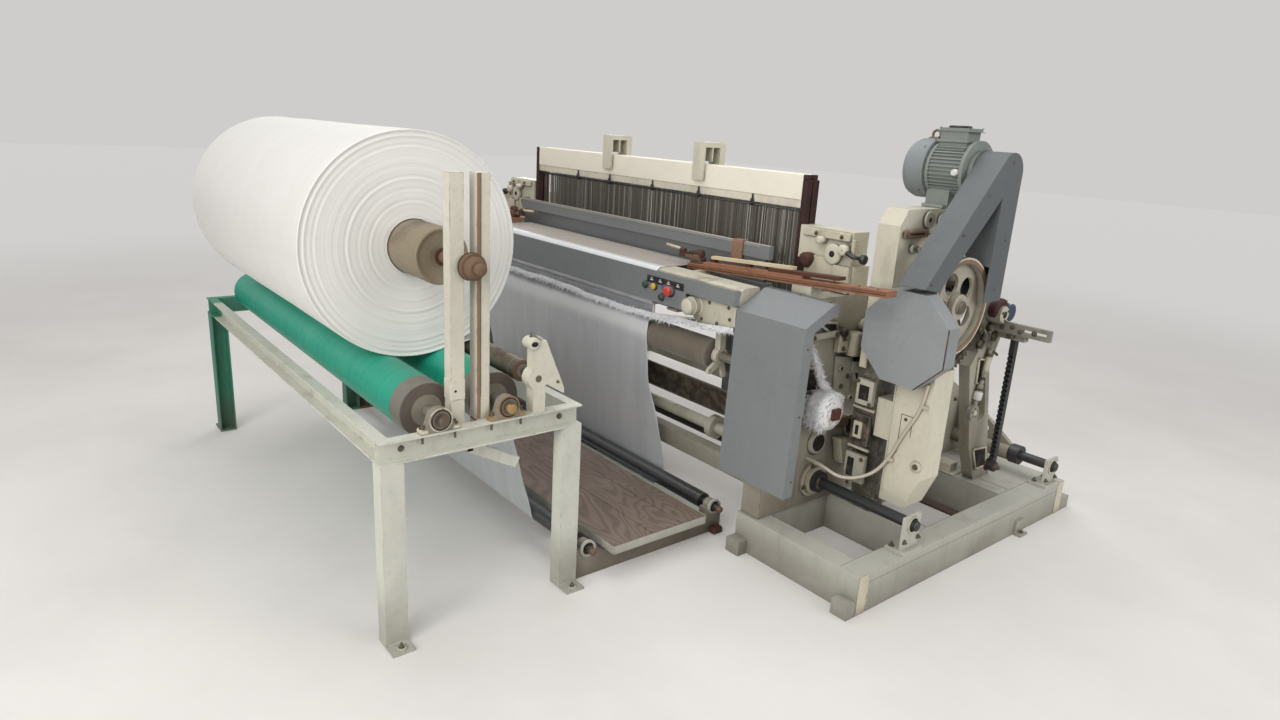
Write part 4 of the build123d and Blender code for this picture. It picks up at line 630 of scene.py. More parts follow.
def conduit():
    """The grey cable from the side frame into the wheel cover."""
    data = bpy.data.curves.new("grey_conduit", "CURVE")
    data.dimensions = "3D"
    spline = data.splines.new("NURBS")
    spline.points.add(len(CONDUIT_ROUTE) - 1)
    for k, point in enumerate(CONDUIT_ROUTE):
        spline.points[k].co = (*point, 1.0)
    spline.order_u = 3
    spline.use_endpoint_u = True
    data.resolution_u = 12
    data.bevel_depth = 0.007
    data.bevel_resolution = 5
    data.use_fill_caps = True
    data.materials.append(M["conduit"])
    cord = show("grey_conduit", data)
    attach(cord, "frame")
    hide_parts("conduit")


conduit()

# The way of the cloth in the YZ plane, as tangents to the rollers (y, z, radius) that it goes
# round; a minus sign is for a roller that it passes on the other side
LAY_OFF = 0.0014
CLOTH_WIDTH = 1.52
NOSE = (-0.032, 1.026, 0.030 + LAY_OFF)
TAKE_UP = (-0.020, 0.752, 0.060 + LAY_OFF)
LOW_BACK = (-0.067, 0.118, -(0.034 + LAY_OFF))
LOW_FRONT = (-0.717, 0.118, -(0.034 + LAY_OFF))
SPREADER = (-0.955, 0.821, 0.038 + LAY_OFF)
ROLLER_Z = 0.740
BATCH_Z = ROLLER_Z + math.sqrt(0.4794 ** 2 - 0.119 ** 2)
BATCH = (-1.183, BATCH_Z, -(0.388 + LAY_OFF))
BATCH_AXIS = (0, -1.183, BATCH_Z)


def tangent(first, second):
    """Where the cloth leaves the first roller and meets the second."""
    reach = Vector((second[0] - first[0], second[1] - first[1]))
    turn = math.acos((second[2] - first[2]) / reach.length)
    way = reach.normalized()
    normal = Vector((way.x * cos(turn) - way.y * sin(turn), way.x * sin(turn) + way.y * cos(turn)))
    return (Vector(first[:2]) - normal * first[2], Vector(second[:2]) - normal * second[2])


def arc(roller, start, end, step):
    """Points round a roller from start to end the short way."""
    centre = Vector(roller[:2])
    first = math.atan2(*(start - centre).yx)
    span = (math.atan2(*(end - centre).yx) - first + pi) % (2 * pi) - pi
    count = max(2, int(abs(span) / step))
    radius = (start - centre).length
    return [centre + radius * Vector((cos(first + span * k / count), sin(first + span * k / count)))
            for k in range(1, count)]


def run(start, end, step=0.02):
    count = max(2, int((end - start).length / step))
    return [start.lerp(end, k / count) for k in range(count + 1)]


def smooth(low, high, value):
    t = min(max((value - low) / (high - low), 0.0), 1.0)
    return t * t * (3 - 2 * t)


def between(pairs, share):
    """The value at share of a smooth line through (share, value) pairs."""
    for (a, va), (b, vb) in zip(pairs, pairs[1:]):
        if share <= b:
            return va + (vb - va) * smooth(a, b, share)
    return pairs[-1][1]


def thicken(piece, thickness):
    layer = piece.modifiers.new("thickness", "SOLIDIFY")
    layer.thickness = thickness
    layer.offset = 0


def web(name, node, material, points, slack, drift, folds, seed):
    """A sheet of cloth on the given line: slack is how freely each point moves, drift the near
    edge, folds how deep the soft folds are."""
    across = 150
    rng = random.Random(seed)
    waves = [(rng.uniform(14, 62), rng.uniform(0, 2 * pi), rng.uniform(-1.3, 1.3), rng.uniform(0.4, 1.0))
             for _ in range(9)]
    lengths = [0.0]
    for a, b in zip(points, points[1:]):
        lengths.append(lengths[-1] + (b - a).length)
    rows = []
    for k, spot in enumerate(points):
        way = (points[min(k + 1, len(points) - 1)] - points[max(k - 1, 0)]).normalized()
        share = lengths[k] / lengths[-1]
        free, near = between(slack, share), between(drift, share)
        row = []
        for u in (c / across for c in range(across + 1)):
            x = near - CLOTH_WIDTH * u
            height = sum(weight * sin(number * x + phase + slant * 2.6 * share)
                         for number, phase, slant, weight in waves) * folds * free / 4.0
            height += folds * 0.7 * math.exp(-min(u, 1 - u) / 0.012) * sin(31 * share + seed) * free
            row.append((x, spot.x + way.y * height, spot.y - way.x * height))
        rows.append(row)
    piece = Piece(name, "frame", "cloth").of(material)
    piece.loft(rows, True, around=False, caps=False)
    piece = piece.done(node)
    thicken(piece, 0.0008)
    return piece.data


def cloths():
    """The running web, in three sheets."""
    level = 1.056 + LAY_OFF
    nose_start = Vector((NOSE[0], level))
    over_nose = tangent(NOSE, TAKE_UP)
    falling = tangent(TAKE_UP, LOW_BACK)
    under_board = tangent(LOW_BACK, LOW_FRONT)
    rising = tangent(LOW_FRONT, SPREADER)
    to_batch = tangent(SPREADER, BATCH)
    behind_cover = (over_nose[0] + over_nose[1]) / 2
    below_board = (under_board[0] + under_board[1]) / 2
    cloth_end = to_batch[1] - (to_batch[1] - to_batch[0]).normalized() * 0.026
    line = run(Vector((0.2255, level)), nose_start)
    line += arc(NOSE, nose_start, over_nose[0], 0.12) + run(over_nose[0], behind_cover)
    # The cloth on the breast takes a brownish copy of the web's cloth: painted reflection
    data = web("cloth_on_breast", "cloth_breast", "cloth_brown", line,
               ((0, 0.1), (0.2, 0.5), (0.45, 0.12), (0.6, 0.0), (0.8, 0.3), (1, 1)), ((0, 0.640), (1, 0.636)),
               0.0009, 3)
    # The strip of cloth over the nose takes a near-white second material: a painted highlight
    data.materials.append(M["cloth_white"])
    for face in data.polygons:
        face.material_index = int(-0.075 < face.center.y < -0.006)
    line = run(behind_cover, over_nose[1]) + arc(TAKE_UP, over_nose[1], falling[0], 0.10)
    line += run(*falling) + arc(LOW_BACK, falling[1], under_board[0], 0.12) + run(under_board[0], below_board)
    web("cloth_fall_web", "cloth_fall", "cloth", line,
        ((0, 1), (0.10, 0.2), (0.16, 0.0), (0.21, 0.05), (0.34, 1), (0.58, 1), (0.70, 0.15), (0.78, 0.1), (1, 1)),
        ((0, 0.634), (0.12, 0.622), (0.22, 0.628), (0.66, 0.742), (1, 0.755)), 0.0042, 11)
    line = run(below_board, under_board[1]) + arc(LOW_FRONT, under_board[1], rising[0], 0.12)
    line += run(*rising) + arc(SPREADER, rising[1], to_batch[0], 0.10) + run(to_batch[0], cloth_end, 0.01)
    web("cloth_rise_web", "cloth_rise", "cloth", line,
        ((0, 1), (0.20, 0.2), (0.30, 0.1), (0.42, 1), (0.72, 1), (0.84, 0.05), (0.92, 0.1), (1, 0.0)),
        ((0, 0.755), (0.26, 0.775), (0.6, 0.748), (0.88, 0.700), (1, 0.684)), 0.0034, 23)


cloths()


def batch_roll():
    """The wound batch: layers that stand out unevenly at its ends round the wrapped core."""
    rng = random.Random(8)
    steps = []
    radius = 0.0965
    while radius < 0.383:
        steps.append((radius, rng.uniform(-0.0005, 0.0004) * (2.2 if radius > 0.352 else 0.8)))
        radius += rng.uniform(0.0018, 0.0052)
    bold = ((0.150, 0.0010), (0.186, 0.0011), (0.228, 0.0014), (0.262, 0.0009), (0.330, 0.0010), (0.366, 0.0016))

    def end(radius, lift):
        for centre, height in bold:
            lift += height * math.exp(-((radius - centre) / 0.004) ** 2)
            lift -= 0.8 * height * math.exp(-((radius - centre - 0.009) / 0.004) ** 2)
        return lift - 0.004

    right, left = 0.680, -0.850
    body = [left + (right - left) * k / 24 for k in range(1, 24)]
    profile = [(left + 0.004, 0.0960)] + [(left - end(r, lift), r) for r, lift in steps]
    profile += [(left + 0.001, 0.3855), (left + 0.004, 0.3876), (left + 0.012, 0.388)]
    profile += [(x, 0.388 - 0.0006 * (1 + sin(19 * x) * 0.5 + sin(7 * x + 1))) for x in body]
    profile += [(right - 0.012, 0.388), (right - 0.004, 0.3876), (right - 0.001, 0.3855)]
    profile += [(right + end(r, lift), r) for r, lift in reversed(steps)] + [(right - 0.004, 0.0960)]
    piece = Piece("batch_roll", "batch", "cloth").of("roll")
    piece.turned(profile, BATCH_AXIS, segments=128, closed=True,
                 wobble=lambda a, t: 1.0 - abs(0.0006 * sin(3 * t + 9 * a)))
    piece.done("batch_cloth")


batch_roll()


def core_wrap():
    """The core is wound with dull waste cloth that puckers at its open ends."""
    piece = Piece("core_wrap", "batch", "card").of("card")
    for piece.side in (-1, 1):
        piece.turned(((0.660, 0.0925), (0.700, 0.0948), (0.760, 0.0940), (0.820, 0.0949), (0.868, 0.0946),
                      (0.886, 0.0948), (0.893, 0.0925), (0.895, 0.0880), (0.890, 0.0800), (0.884, 0.0700),
                      (0.888, 0.0610), (0.882, 0.0520), (0.886, 0.0440), (0.881, 0.0360), (0.884, 0.0280),
                      (0.880, 0.0192)), BATCH_AXIS, segments=64,
                     wobble=lambda s, t: 1 - 0.006 * abs(sin(2.5 * t + 16 * s)) - 0.004 * (1 + sin(9 * t - 31 * s)) / 2)
    piece.turned(((-0.67, 0.0925), (0.67, 0.0925)), BATCH_AXIS, segments=24)
    piece.done("batch_core")


core_wrap()


def healds():
    """Heald frames: cream top board over a pale rail, brown end stiles, close-set wires."""
    rng = random.Random(31)
    for body, node, wires, front, low_y, high_y in (
            ("front_heald", "heald_frame_front", "heddles_front", 0.370, 0.366, 0.402),
            ("back_heald", "heald_frame_back", "heddles_back", 0.418, 0.410, 0.446)):
        piece = Piece(body + "_frame", body, "heald_aluminium", 0.0025)
        piece.of("heald_board").bar(-1.039, 1.039, front, front + 0.022, 1.382, 1.488)
        piece.of("heald_rail").bars((-1.039, 1.039, front + 0.002, front + 0.020, 1.348, 1.3812),
                                    (-1.039, 1.039, front + 0.001, front + 0.021, 0.840, 0.905))
        piece.of("steel_dark")
        for z in (1.336, 0.915):
            piece.rod([(-1.039, front + 0.011, z), (1.039, front + 0.011, z)], 0.004)
        for x in (-0.613, -0.311, 0.056, 0.405, 0.761):
            piece.bars((x - 0.011, x + 0.011, front - 0.007, front - 0.001, 1.338, 1.362),
                       (x - 0.005, x + 0.005, front - 0.006, front + 0.001, 1.360, 1.383),
                       (x - 0.014, x - 0.006, front - 0.005, front + 0.015, 1.330, 1.342))
        piece.of("stile")
        for piece.side in (-1, 1):
            piece.bars((1.039, 1.0648, low_y, high_y, 0.842, 1.466),
                       (1.039, 1.0648, low_y, (low_y + high_y) / 2 + 0.004, 1.4665, 1.4875))
            piece.bolts([(1.052, low_y - 0.0002, z) for z in (0.90, 1.10, 1.30)], (0, -1, 0), 0.0045, washer=False)
        piece.done(node)
        piece = Piece(body + "_wires", body, "dark_steel")
        x = -0.985
        while x < 1.030:
            x += 0.0037 + rng.uniform(-0.0005, 0.0005)
            if x < -0.905 and rng.random() < 0.45:
                continue
            chance = rng.random()
            piece.of("wire_pale" if chance > 0.93 else "wire_brown" if chance > 0.72 else "wire_dark")
            y = front + 0.011 + rng.uniform(-0.002, 0.002)
            lean = rng.uniform(-0.0012, 0.0012)
            piece.loft([[(x + drift + a * wide, y + b * 0.0005, z) for a, b in ((-1, -1), (1, -1), (1, 1), (-1, 1))]
                        for z, wide, drift in ((0.908, 0.0016, 0), (1.105, 0.0016, lean / 2), (1.125, 0.0025, lean / 2),
                                               (1.145, 0.0016, lean / 2), (1.344, 0.0016, lean))], caps=False)
        piece.done(wires)


def reed_details():
    """Pale bead along the reed cap, brown clip over it, dents that show below it."""
    piece = Piece("reed_cap_bead", "sley", "blue_grey_paint")
    piece.of("wire_pale").rod([(-1.009, 0.250, 1.186), (1.009, 0.250, 1.186)], 0.0045, 8)
    piece.bar(-1.009, 0.955, 0.2352, 0.2368, 1.178, 1.1845, 0.0004)
    piece.of("copper_brown").bars((0.797, 0.860, 0.2235, 0.2362, 1.108, 1.1895, 0.003),
                                  (0.800, 0.857, 0.2262, 0.268, 1.1885, 1.194, 0.002))
    piece.of("reed_dark").bar(-0.989, 0.989, 0.2442, 0.2459, 1.0305, 1.1298, 0.0003)
    piece.done()


def track_z(x):
    """Height of the track's upper face."""
    return 1.045 + (x - 0.650) * (1.112 - 1.045) / (1.690 - 0.650) + 0.025


def tracks():
    """Layers of brown board on the rapier tracks, and the pale batten on the right one."""
    for name, side, inner in (("track_layers_right", 1, 0.652), ("track_layers_left", -1, 0.892)):
        piece = Piece(name, slot="track_wood")
        piece.side = side
        layers = [("track", inner + 0.090, 1.300, 0.114, 0.166, 0.0002, 0.011),
                  ("track_edge", inner, 1.688, 0.1035, 0.1058, -0.0165, 0.0032),
                  ("track_edge", inner, 1.688, 0.1035, 0.1058, -0.0075, 0.0012),
                  ("brown_wood", 1.120, 1.470, 0.118, 0.160, 0.0114, 0.013)]
        if side > 0:
            layers += [("pale_wood", 0.762, 1.225, 0.142, 0.168, 0.0250, 0.013)]
            layers += [("brown_wood", x - 0.014, x + 0.014, 0.144, 0.166, 0.0113, 0.0136) for x in (0.770, 0.980)]
        for material, start, end, y0, y1, lift, high in layers:
            piece.of(material).loft([[piece.at((x, y, track_z(x) + lift + up)) for y, up in
                                      ((y0, 0), (y1, 0), (y1, high), (y0, high))] for x in (start, end)])
        piece.of("steel_dirty").bolts([(x, 0.125, track_z(x) + (0.0114 if x < 1.3 else 0.0002))
                                       for x in (1.02, 1.56, 1.64)], (0, 0, 1), 0.0045)
        piece.done()


def temple(name, side, inner):
    """Brown casting of the temple at the cloth's edge, its pale pull rod and its spring."""
    piece = Piece(name, slot="dark_steel")
    piece.side = side
    top = track_z(inner)
    for material, a, b, y0, y1, z0, z1 in (
            ("rust_dark", 0.002, 0.075, 0.112, 0.162, 0.001, 0.014), ("rust", 0.012, 0.052, 0.116, 0.150, 0.014, 0.040),
            ("rust", -0.050, 0.020, 0.124, 0.146, 0.016, 0.034),
            ("rust_dark", -0.085, -0.044, 0.120, 0.142, 0.018, 0.040),
            ("rust_dark", 0.030, 0.066, 0.128, 0.158, 0.012, 0.030)):
        piece.of(material).bar(inner + a, inner + b, y0, y1, top + z0, top + z1, 0.004)
    for a, radius, y, z in ((0.040, 0.019, 0.140, 0.046), (-0.066, 0.013, 0.131, 0.046), (0.012, 0.012, 0.133, 0.044)):
        low, high = sorted((side * (inner + a - 0.016), side * (inner + a + 0.016)))
        piece.turned([(side * x, r) for x, r in ((low, radius * 0.8), (low + 0.004, radius), (high - 0.004, radius),
                                                 (high, radius * 0.75))], (0, y, top + z), segments=20,
                     wobble=lambda s, t: 1 + 0.05 * sin(3 * t + 40 * s))
    start, end = inner - 0.060, inner - 0.185
    piece.of("pale_wood").rod([(start, 0.132, top + 0.049), ((start + end) / 2, 0.134, top + 0.053),
                               (end, 0.136, top + 0.056)], 0.0062, 12)
    piece.of("steel_dirty").rod([(end, 0.136, top + 0.056), (end - 0.034, 0.137, top + 0.0565)], 0.0026, 8)
    piece.bolt((inner + 0.060, 0.120, top + 0.014), (0, 0, 1), 0.006, 0.006)
    piece.bolt((inner + 0.020, 0.128, top + 0.040), (0, 0, 1), 0.006, 0.004)
    for x in (inner - 0.02 - 0.004 * k for k in range(6)):
        piece.turned(((x - 0.0012, 0.008), (x + 0.0012, 0.008)), (0, 0.134, top + 0.041), segments=14)
    piece.done()


def button_panel():
    """Black strip with four blank labels over the push buttons in their bezels."""
    face = -0.092
    strip = Piece("label_strip", "frame", "conduit_grey", 0.0006)
    strip.of("black").bar(0.6180, 0.8580, face - 0.0032, face - 0.0018, 0.9950, 1.0260)
    strip.of("label_pale")
    for x in (0.650, 0.707, 0.762, 0.822):
        strip.bars((x - 0.010, x + 0.010, face - 0.0036, face - 0.0031, 1.0060, 1.0105, 0.0002),
                   (x - 0.004, x + 0.004, face - 0.0036, face - 0.0031, 1.0130, 1.0185, 0.0002))
    strip.done()
    buttons = Piece("push_buttons", slot="conduit_grey")
    for colour, x, z, radius, reach, crown in (
            ("green", 0.609, 0.981, 0.0138, 0.0142, 0.0016), ("yellow", 0.671, 0.983, 0.0138, 0.0142, 0.0016),
            ("blue", 0.744, 0.988, 0.0138, 0.0142, 0.0016), ("black", 0.722, 0.945, 0.0138, 0.0142, 0.0016),
            ("red", 0.777, 0.982, 0.0212, 0.0285, 0.0030)):
        for material, profile in (
                ("bezel", ((0.0002, 1.28), (0.003, 1.30), (0.0048, 1.18), (0.0050, 0.9))),
                ("button_" + colour, ((0.0030, 0.86), (reach * 0.55, 0.88), (reach * 0.60, 1), (reach * 0.88, 1),
                                      (reach + crown * 0.4, 0.86), (reach + crown * 0.9, 0.5), (reach + crown, 0.08)))):
            buttons.of(material).turned([(face - out, radius * share) for out, share in profile], (x, 0, z), "Y", 36)
    buttons.done()


def breast_details():
    """Castings, bolts and rings on the breast beam, and the slotted rail of the waste edge."""
    piece = Piece("breast_fittings", slot="cream_paint")
    piece.of("cream").bars((0.500, 0.800, -0.058, -0.016, 0.900, 0.9305, 0.004),
                           (0.540, 0.640, -0.064, -0.030, 0.893, 0.9005, 0.003),
                           (0.720, 0.790, -0.062, -0.020, 0.888, 0.9005, 0.003))
    piece.of("rust_dark").bar(0.640, 0.720, -0.062, -0.0585, 0.9010, 0.9200, 0.001)
    piece.of("cream_pale")
    for profile in (((-0.1040, 0.0362), (-0.1045, 0.0382), (-0.1095, 0.0382), (-0.1100, 0.0362)),
                    ((-0.1278, 0.0300), (-0.1305, 0.0295), (-0.1320, 0.0250), (-0.1325, 0.0080)),
                    ((-0.0700, 0.0362), (-0.0705, 0.0405), (-0.0800, 0.0405), (-0.0805, 0.0362))):
        piece.turned(profile, (0.922, 0, 0.948), "Y", 40)
    piece.of("bolt").bolts([(x, -0.0765, z) for x, z in ((0.960, 0.900), (1.050, 0.900), (1.120, 0.930), (1.000, 0.975),
                                                         (1.110, 0.975))], (0, -1, 0), 0.006)
    for piece.side in (-1, 1):
        piece.of("bolt").bolts([(1.025, -0.0362, z) for z in (0.905, 0.870)], (0, -1, 0), 0.006)
        piece.of("steel_dirty").turned(((1.0055, 0.0300), (1.0055, 0.0212), (1.0085, 0.0212), (1.0085, 0.0300)),
                                       (0, -0.020, 0.752), segments=36, closed=True)
    piece.done()
    rail = Piece("waste_rail", "frame", "bright_steel", 0.001)
    turn = Matrix.Translation((1.150, -0.066, 0.914)) @ Matrix.Rotation(-0.137, 4, "Y")
    rail.of("label_pale").bar(-0.545, 0.0, -0.004, 0.004, -0.011, 0.011, None, turn)
    rail.of("rust_dark").bar(-0.400, -0.090, -0.0052, -0.0038, -0.0045, 0.0045, 0.0004, turn)
    rail.of("bolt").bolts([turn @ Vector((x, -0.004, 0)) for x in (-0.52, -0.05)], (0, -1, 0), 0.005)
    rail.of("label_pale").bars((1.130, 1.1528, -0.070, -0.050, 0.905, 0.930),
                               (0.610, 0.640, -0.066, -0.056, 0.838, 0.9005))
    rail.done()


def drip_pan():
    """Oily sheet of the pan below the take-up roller, with a dull lip."""
    piece = Piece("oily_pan", "frame", "base_paint", 0.0006).of("pan")
    steps = 64
    rows = []
    for share in (k / 10 for k in range(11)):
        line = [-1.258 + 2.516 * k / steps for k in range(steps + 1)]
        rows.append([Vector((x, 0.060 + 0.058 * share - 0.0035 - 0.0012 * sin(9 * x + 3 * share) * sin(pi * share),
                             0.5805 - 0.140 * share)) for x in line])
    front, back = (piece.loft([[v + Vector((0, y, 0)) for v in row] for row in rows], True, around=False, caps=False)
                   for y in (0, 0.0016))
    for end in (0, -1):
        piece.skin((front[end], back[end]), around=False)
        piece.skin(([row[end] for row in front], [row[end] for row in back]), around=False)
    piece.bar(-1.258, 1.258, 0.0500, 0.0590, 0.5780, 0.5835, 0.002)
    piece.done()


def take_up_sleeve():
    """Worn wrap on the take-up roller, grooved at its ends."""
    piece = Piece("take_up_wrap", "take_up", "bright_steel").of("wrap")

    def grooves(start, depth):
        return [(start + 0.012 * k + x, r) for k in range(4)
                for x, r in ((0, 0.0611), (0.001, depth), (0.004, depth), (0.005, 0.0611))]

    profile = [(-0.998, 0.0602), (-0.990, 0.0611)] + grooves(-0.984, 0.0604)
    profile += [(-0.90 + 0.05 * k, 0.0611) for k in range(1, 36)]
    profile += grooves(0.938, 0.0603) + [(0.990, 0.0611), (0.998, 0.0602)]
    piece.turned(profile, (0, -0.020, 0.752), segments=72, wobble=lambda s, t: 1 - 0.002 * abs(sin(3 * t + 30 * s)))
    piece.done()


def spikes(piece, points, count, reach, seed, width=0.0013):
    """Loose threads that stand out of a path."""
    rng = random.Random(seed)
    for _ in range(count):
        k = rng.randrange(len(points) - 1)
        spot = points[k].lerp(points[k + 1], rng.random())
        along = (points[k + 1] - points[k]).normalized()
        out = Vector((rng.uniform(-1, 1), rng.uniform(-1, 0.2), rng.uniform(-1, 1))).normalized()
        out = (out + along * rng.uniform(-0.6, 0.6)).normalized()
        length = reach * rng.uniform(0.35, 1.0)
        side = out.cross(along)
        side = side.normalized() if side.length > 1e-4 else Vector((0, 0, 1))
        up = out.cross(side)
        base, middle = piece.loft([[spot + out * length * far + width * thin * (cos(a) * side + sin(a) * up)
                                    for a in (0, 2.09, 4.19)] for far, thin in ((0, 1), (0.55, 0.7))], caps=False)
        tip = piece.mesh.verts.new(spot + out * length + Vector((0, 0, -0.18)) * length)
        for j in range(3):
            piece.mesh.faces.new((middle[j], middle[(j + 1) % 3], tip)).material_index = piece.paint


def ribbon(name, points, width, facing, fringe_count, seed):
    """A narrow woven waste edge along points, with its frayed threads as a second piece."""
    facing = Vector(facing)
    rows = []
    for k, spot in enumerate(points):
        along = (points[min(k + 1, len(points) - 1)] - points[max(k - 1, 0)]).normalized()
        across = facing.cross(along).normalized()
        rows.append([spot + across * width * (c / 4 - 0.5) + facing * 0.0008 * sin(k * 0.9) for c in range(5)])
    piece = Piece(name, "frame", "yarn").of("foil")
    piece.loft(rows, True, around=False, caps=False)
    piece = piece.done()
    thicken(piece, 0.0009)
    fray = Piece(name + "_threads", "frame", "yarn").of("thread")
    spikes(fray, points, fringe_count, 0.032, seed)
    spikes(fray, points, fringe_count // 12, 0.036, seed + 50, 0.0026)
    threads = fray.done()


def dense(points, step):
    points = [Vector(p) for p in points]
    out = []
    for a, b in zip(points, points[1:]):
        out += run(a, b, step)[:-1]
    return out + [points[-1]]


def selvedges():
    """Cut-off waste edge that runs along the breast and back to the reel."""
    front = dense(((-0.740, -0.0800, 0.850), (-0.580, -0.0800, 0.851), (-0.097, -0.0800, 0.855),
                   (0.251, -0.0800, 0.841), (0.558, -0.0805, 0.843), (0.700, -0.0830, 0.852),
                   (0.891, -0.0850, 0.868), (1.040, -0.0850, 0.880), (1.149, -0.0800, 0.888)), 0.012)
    wave = [p + Vector((0, 0.0010 * sin(31 * p.x), 0.0022 * sin(23 * p.x + 1))) for p in front]
    ribbon("waste_edge", wave, 0.024, (0, -1, 0.02), 2600, 3)
    back = dense(((1.430, 0.030, 0.914), (1.432, 0.096, 0.820), (1.428, 0.158, 0.720), (1.424, 0.206, 0.684)), 0.008)
    ribbon("waste_edge_to_reel", back, 0.026, (0.68, 0.46, 0.57), 1300, 4)


def wound_waste():
    """Waste yarn wound unevenly on its square core, with ends that stand out."""
    piece = Piece("waste_yarn_wound", "selvedge_reel", "yarn")
    piece.of("foil").turned(((1.371, 0.026), (1.374, 0.052), (1.382, 0.070), (1.395, 0.078), (1.410, 0.0795),
                             (1.426, 0.0770), (1.442, 0.0790), (1.458, 0.0765), (1.468, 0.066), (1.474, 0.048),
                             (1.476, 0.026)), (0, 0.190, 0.600), segments=64,
                            wobble=lambda s, t: 1 + 0.030 * sin(5 * t + 260 * s) * sin(3 * t - 40 * s) - 0.03)
    piece.of("thread")
    rng = random.Random(9)
    for k in range(60):
        x0, angle = rng.uniform(1.380, 1.466), rng.uniform(0, 2 * pi)
        points = [Vector((x0 + 0.004 * sin(2 * t), 0.190 + 0.0770 * cos(t), 0.600 + 0.0770 * sin(t)))
                  for t in (angle + j * 0.22 for j in range(7))]
        spikes(piece, points, 20, 0.028, 100 + k)
        spikes(piece, points, 3, 0.030, 300 + k, 0.0024)
    piece.done("waste_yarn")


healds()
reed_details()
tracks()
temple("temple_right", 1, 0.655)
temple("temple_left", -1, 0.895)
button_panel()
breast_details()
drip_pan()
take_up_sleeve()
wound_waste()
selvedges()


def winder_bearings():
    """Bearing rings, bolts with their nuts, and stains on the pillow blocks."""
    piece = Piece("pillow_fittings", slot="dark_steel")
    for piece.side in (-1, 1):
        for y in (-1.302, -1.064):
            # Painted shade in the gap round the bearing
            piece.of("dark_hole").ring(1.1233, 0.0042, 0.0292, 0.0335, y, ROLLER_Z)
            piece.of("steel_dirty").ring(1.1271, 0.0019, 0.0185, 0.0262, y, ROLLER_Z)
            piece.of("yellow_rust" if y > -1.2 else "worn_cream").ring(1.1230, 0.0015, 0.0335, 0.0392, y, ROLLER_Z)
            for step in (-1, 1):
                piece.bar(1.0905, 1.1240, y + step * 0.0405, y + step * 0.0665, 0.7002, 0.7155, 0.003)
            piece.of("bolt")
            for step in (-1, 1):
                piece.bolt((1.107, y + step * 0.0545, 0.7157), (0, 0, 1), 0.0085, 0.006)
                piece.bolt((1.107, y + step * 0.0545, 0.6937), (0, 0, -1), 0.0085, 0.020)
        piece.bolts(((1.0932, -1.420, 0.660), (1.0932, -0.848, 0.660)), (1, 0, 0), 0.0085, 0.004)
    piece.done()
    for body, y, tip in (("front_drive_roller", -1.302, "steel_dirty"), ("back_drive_roller", -1.064, "yellow_rust")):
        end = Piece(body + "_ends", body, "bright_steel")
        for end.side in (-1, 1):
            end.of("end_disc").ring(1.0203, 0.0012, 0.050, 0.0885, y, ROLLER_Z, 64)
            end.of("end_light").ring(1.0203, 0.0022, 0.018, 0.052, y, ROLLER_Z, 64)
            end.of(tip).turned(((1.1272, 0.0165), (1.150, 0.0165), (1.1525, 0.0150), (1.1530, 0.0040)),
                               (0, y, ROLLER_Z), segments=28)
            end.of("steel_dirty").bar(1.130, 1.148, y - 0.003, y + 0.003, ROLLER_Z + 0.015, ROLLER_Z + 0.019, 0.0005)
        end.done()


def batch_ends():
    """Rusty boss and stub outside each collar of the batch shaft."""
    piece = Piece("batch_shaft_bosses", "batch", "dark_steel")
    for piece.side in (-1, 1):
        piece.of("rust").turned(((1.1133, 0.0380), (1.1180, 0.0340), (1.1300, 0.0300), (1.1360, 0.0250),
                                 (1.1370, 0.0195)), BATCH_AXIS, segments=40)
        piece.turned(((1.1365, 0.0192), (1.1600, 0.0186), (1.1660, 0.0150), (1.1665, 0.0050)), BATCH_AXIS, segments=28)
        piece.of("rust_dark").ring(1.0905, 0.002, 0.0192, 0.0440, *BATCH_AXIS[1:], 48)
        piece.ring(0.9000, 0.006, 0.0192, 0.0300, *BATCH_AXIS[1:], 36)
    piece.done()


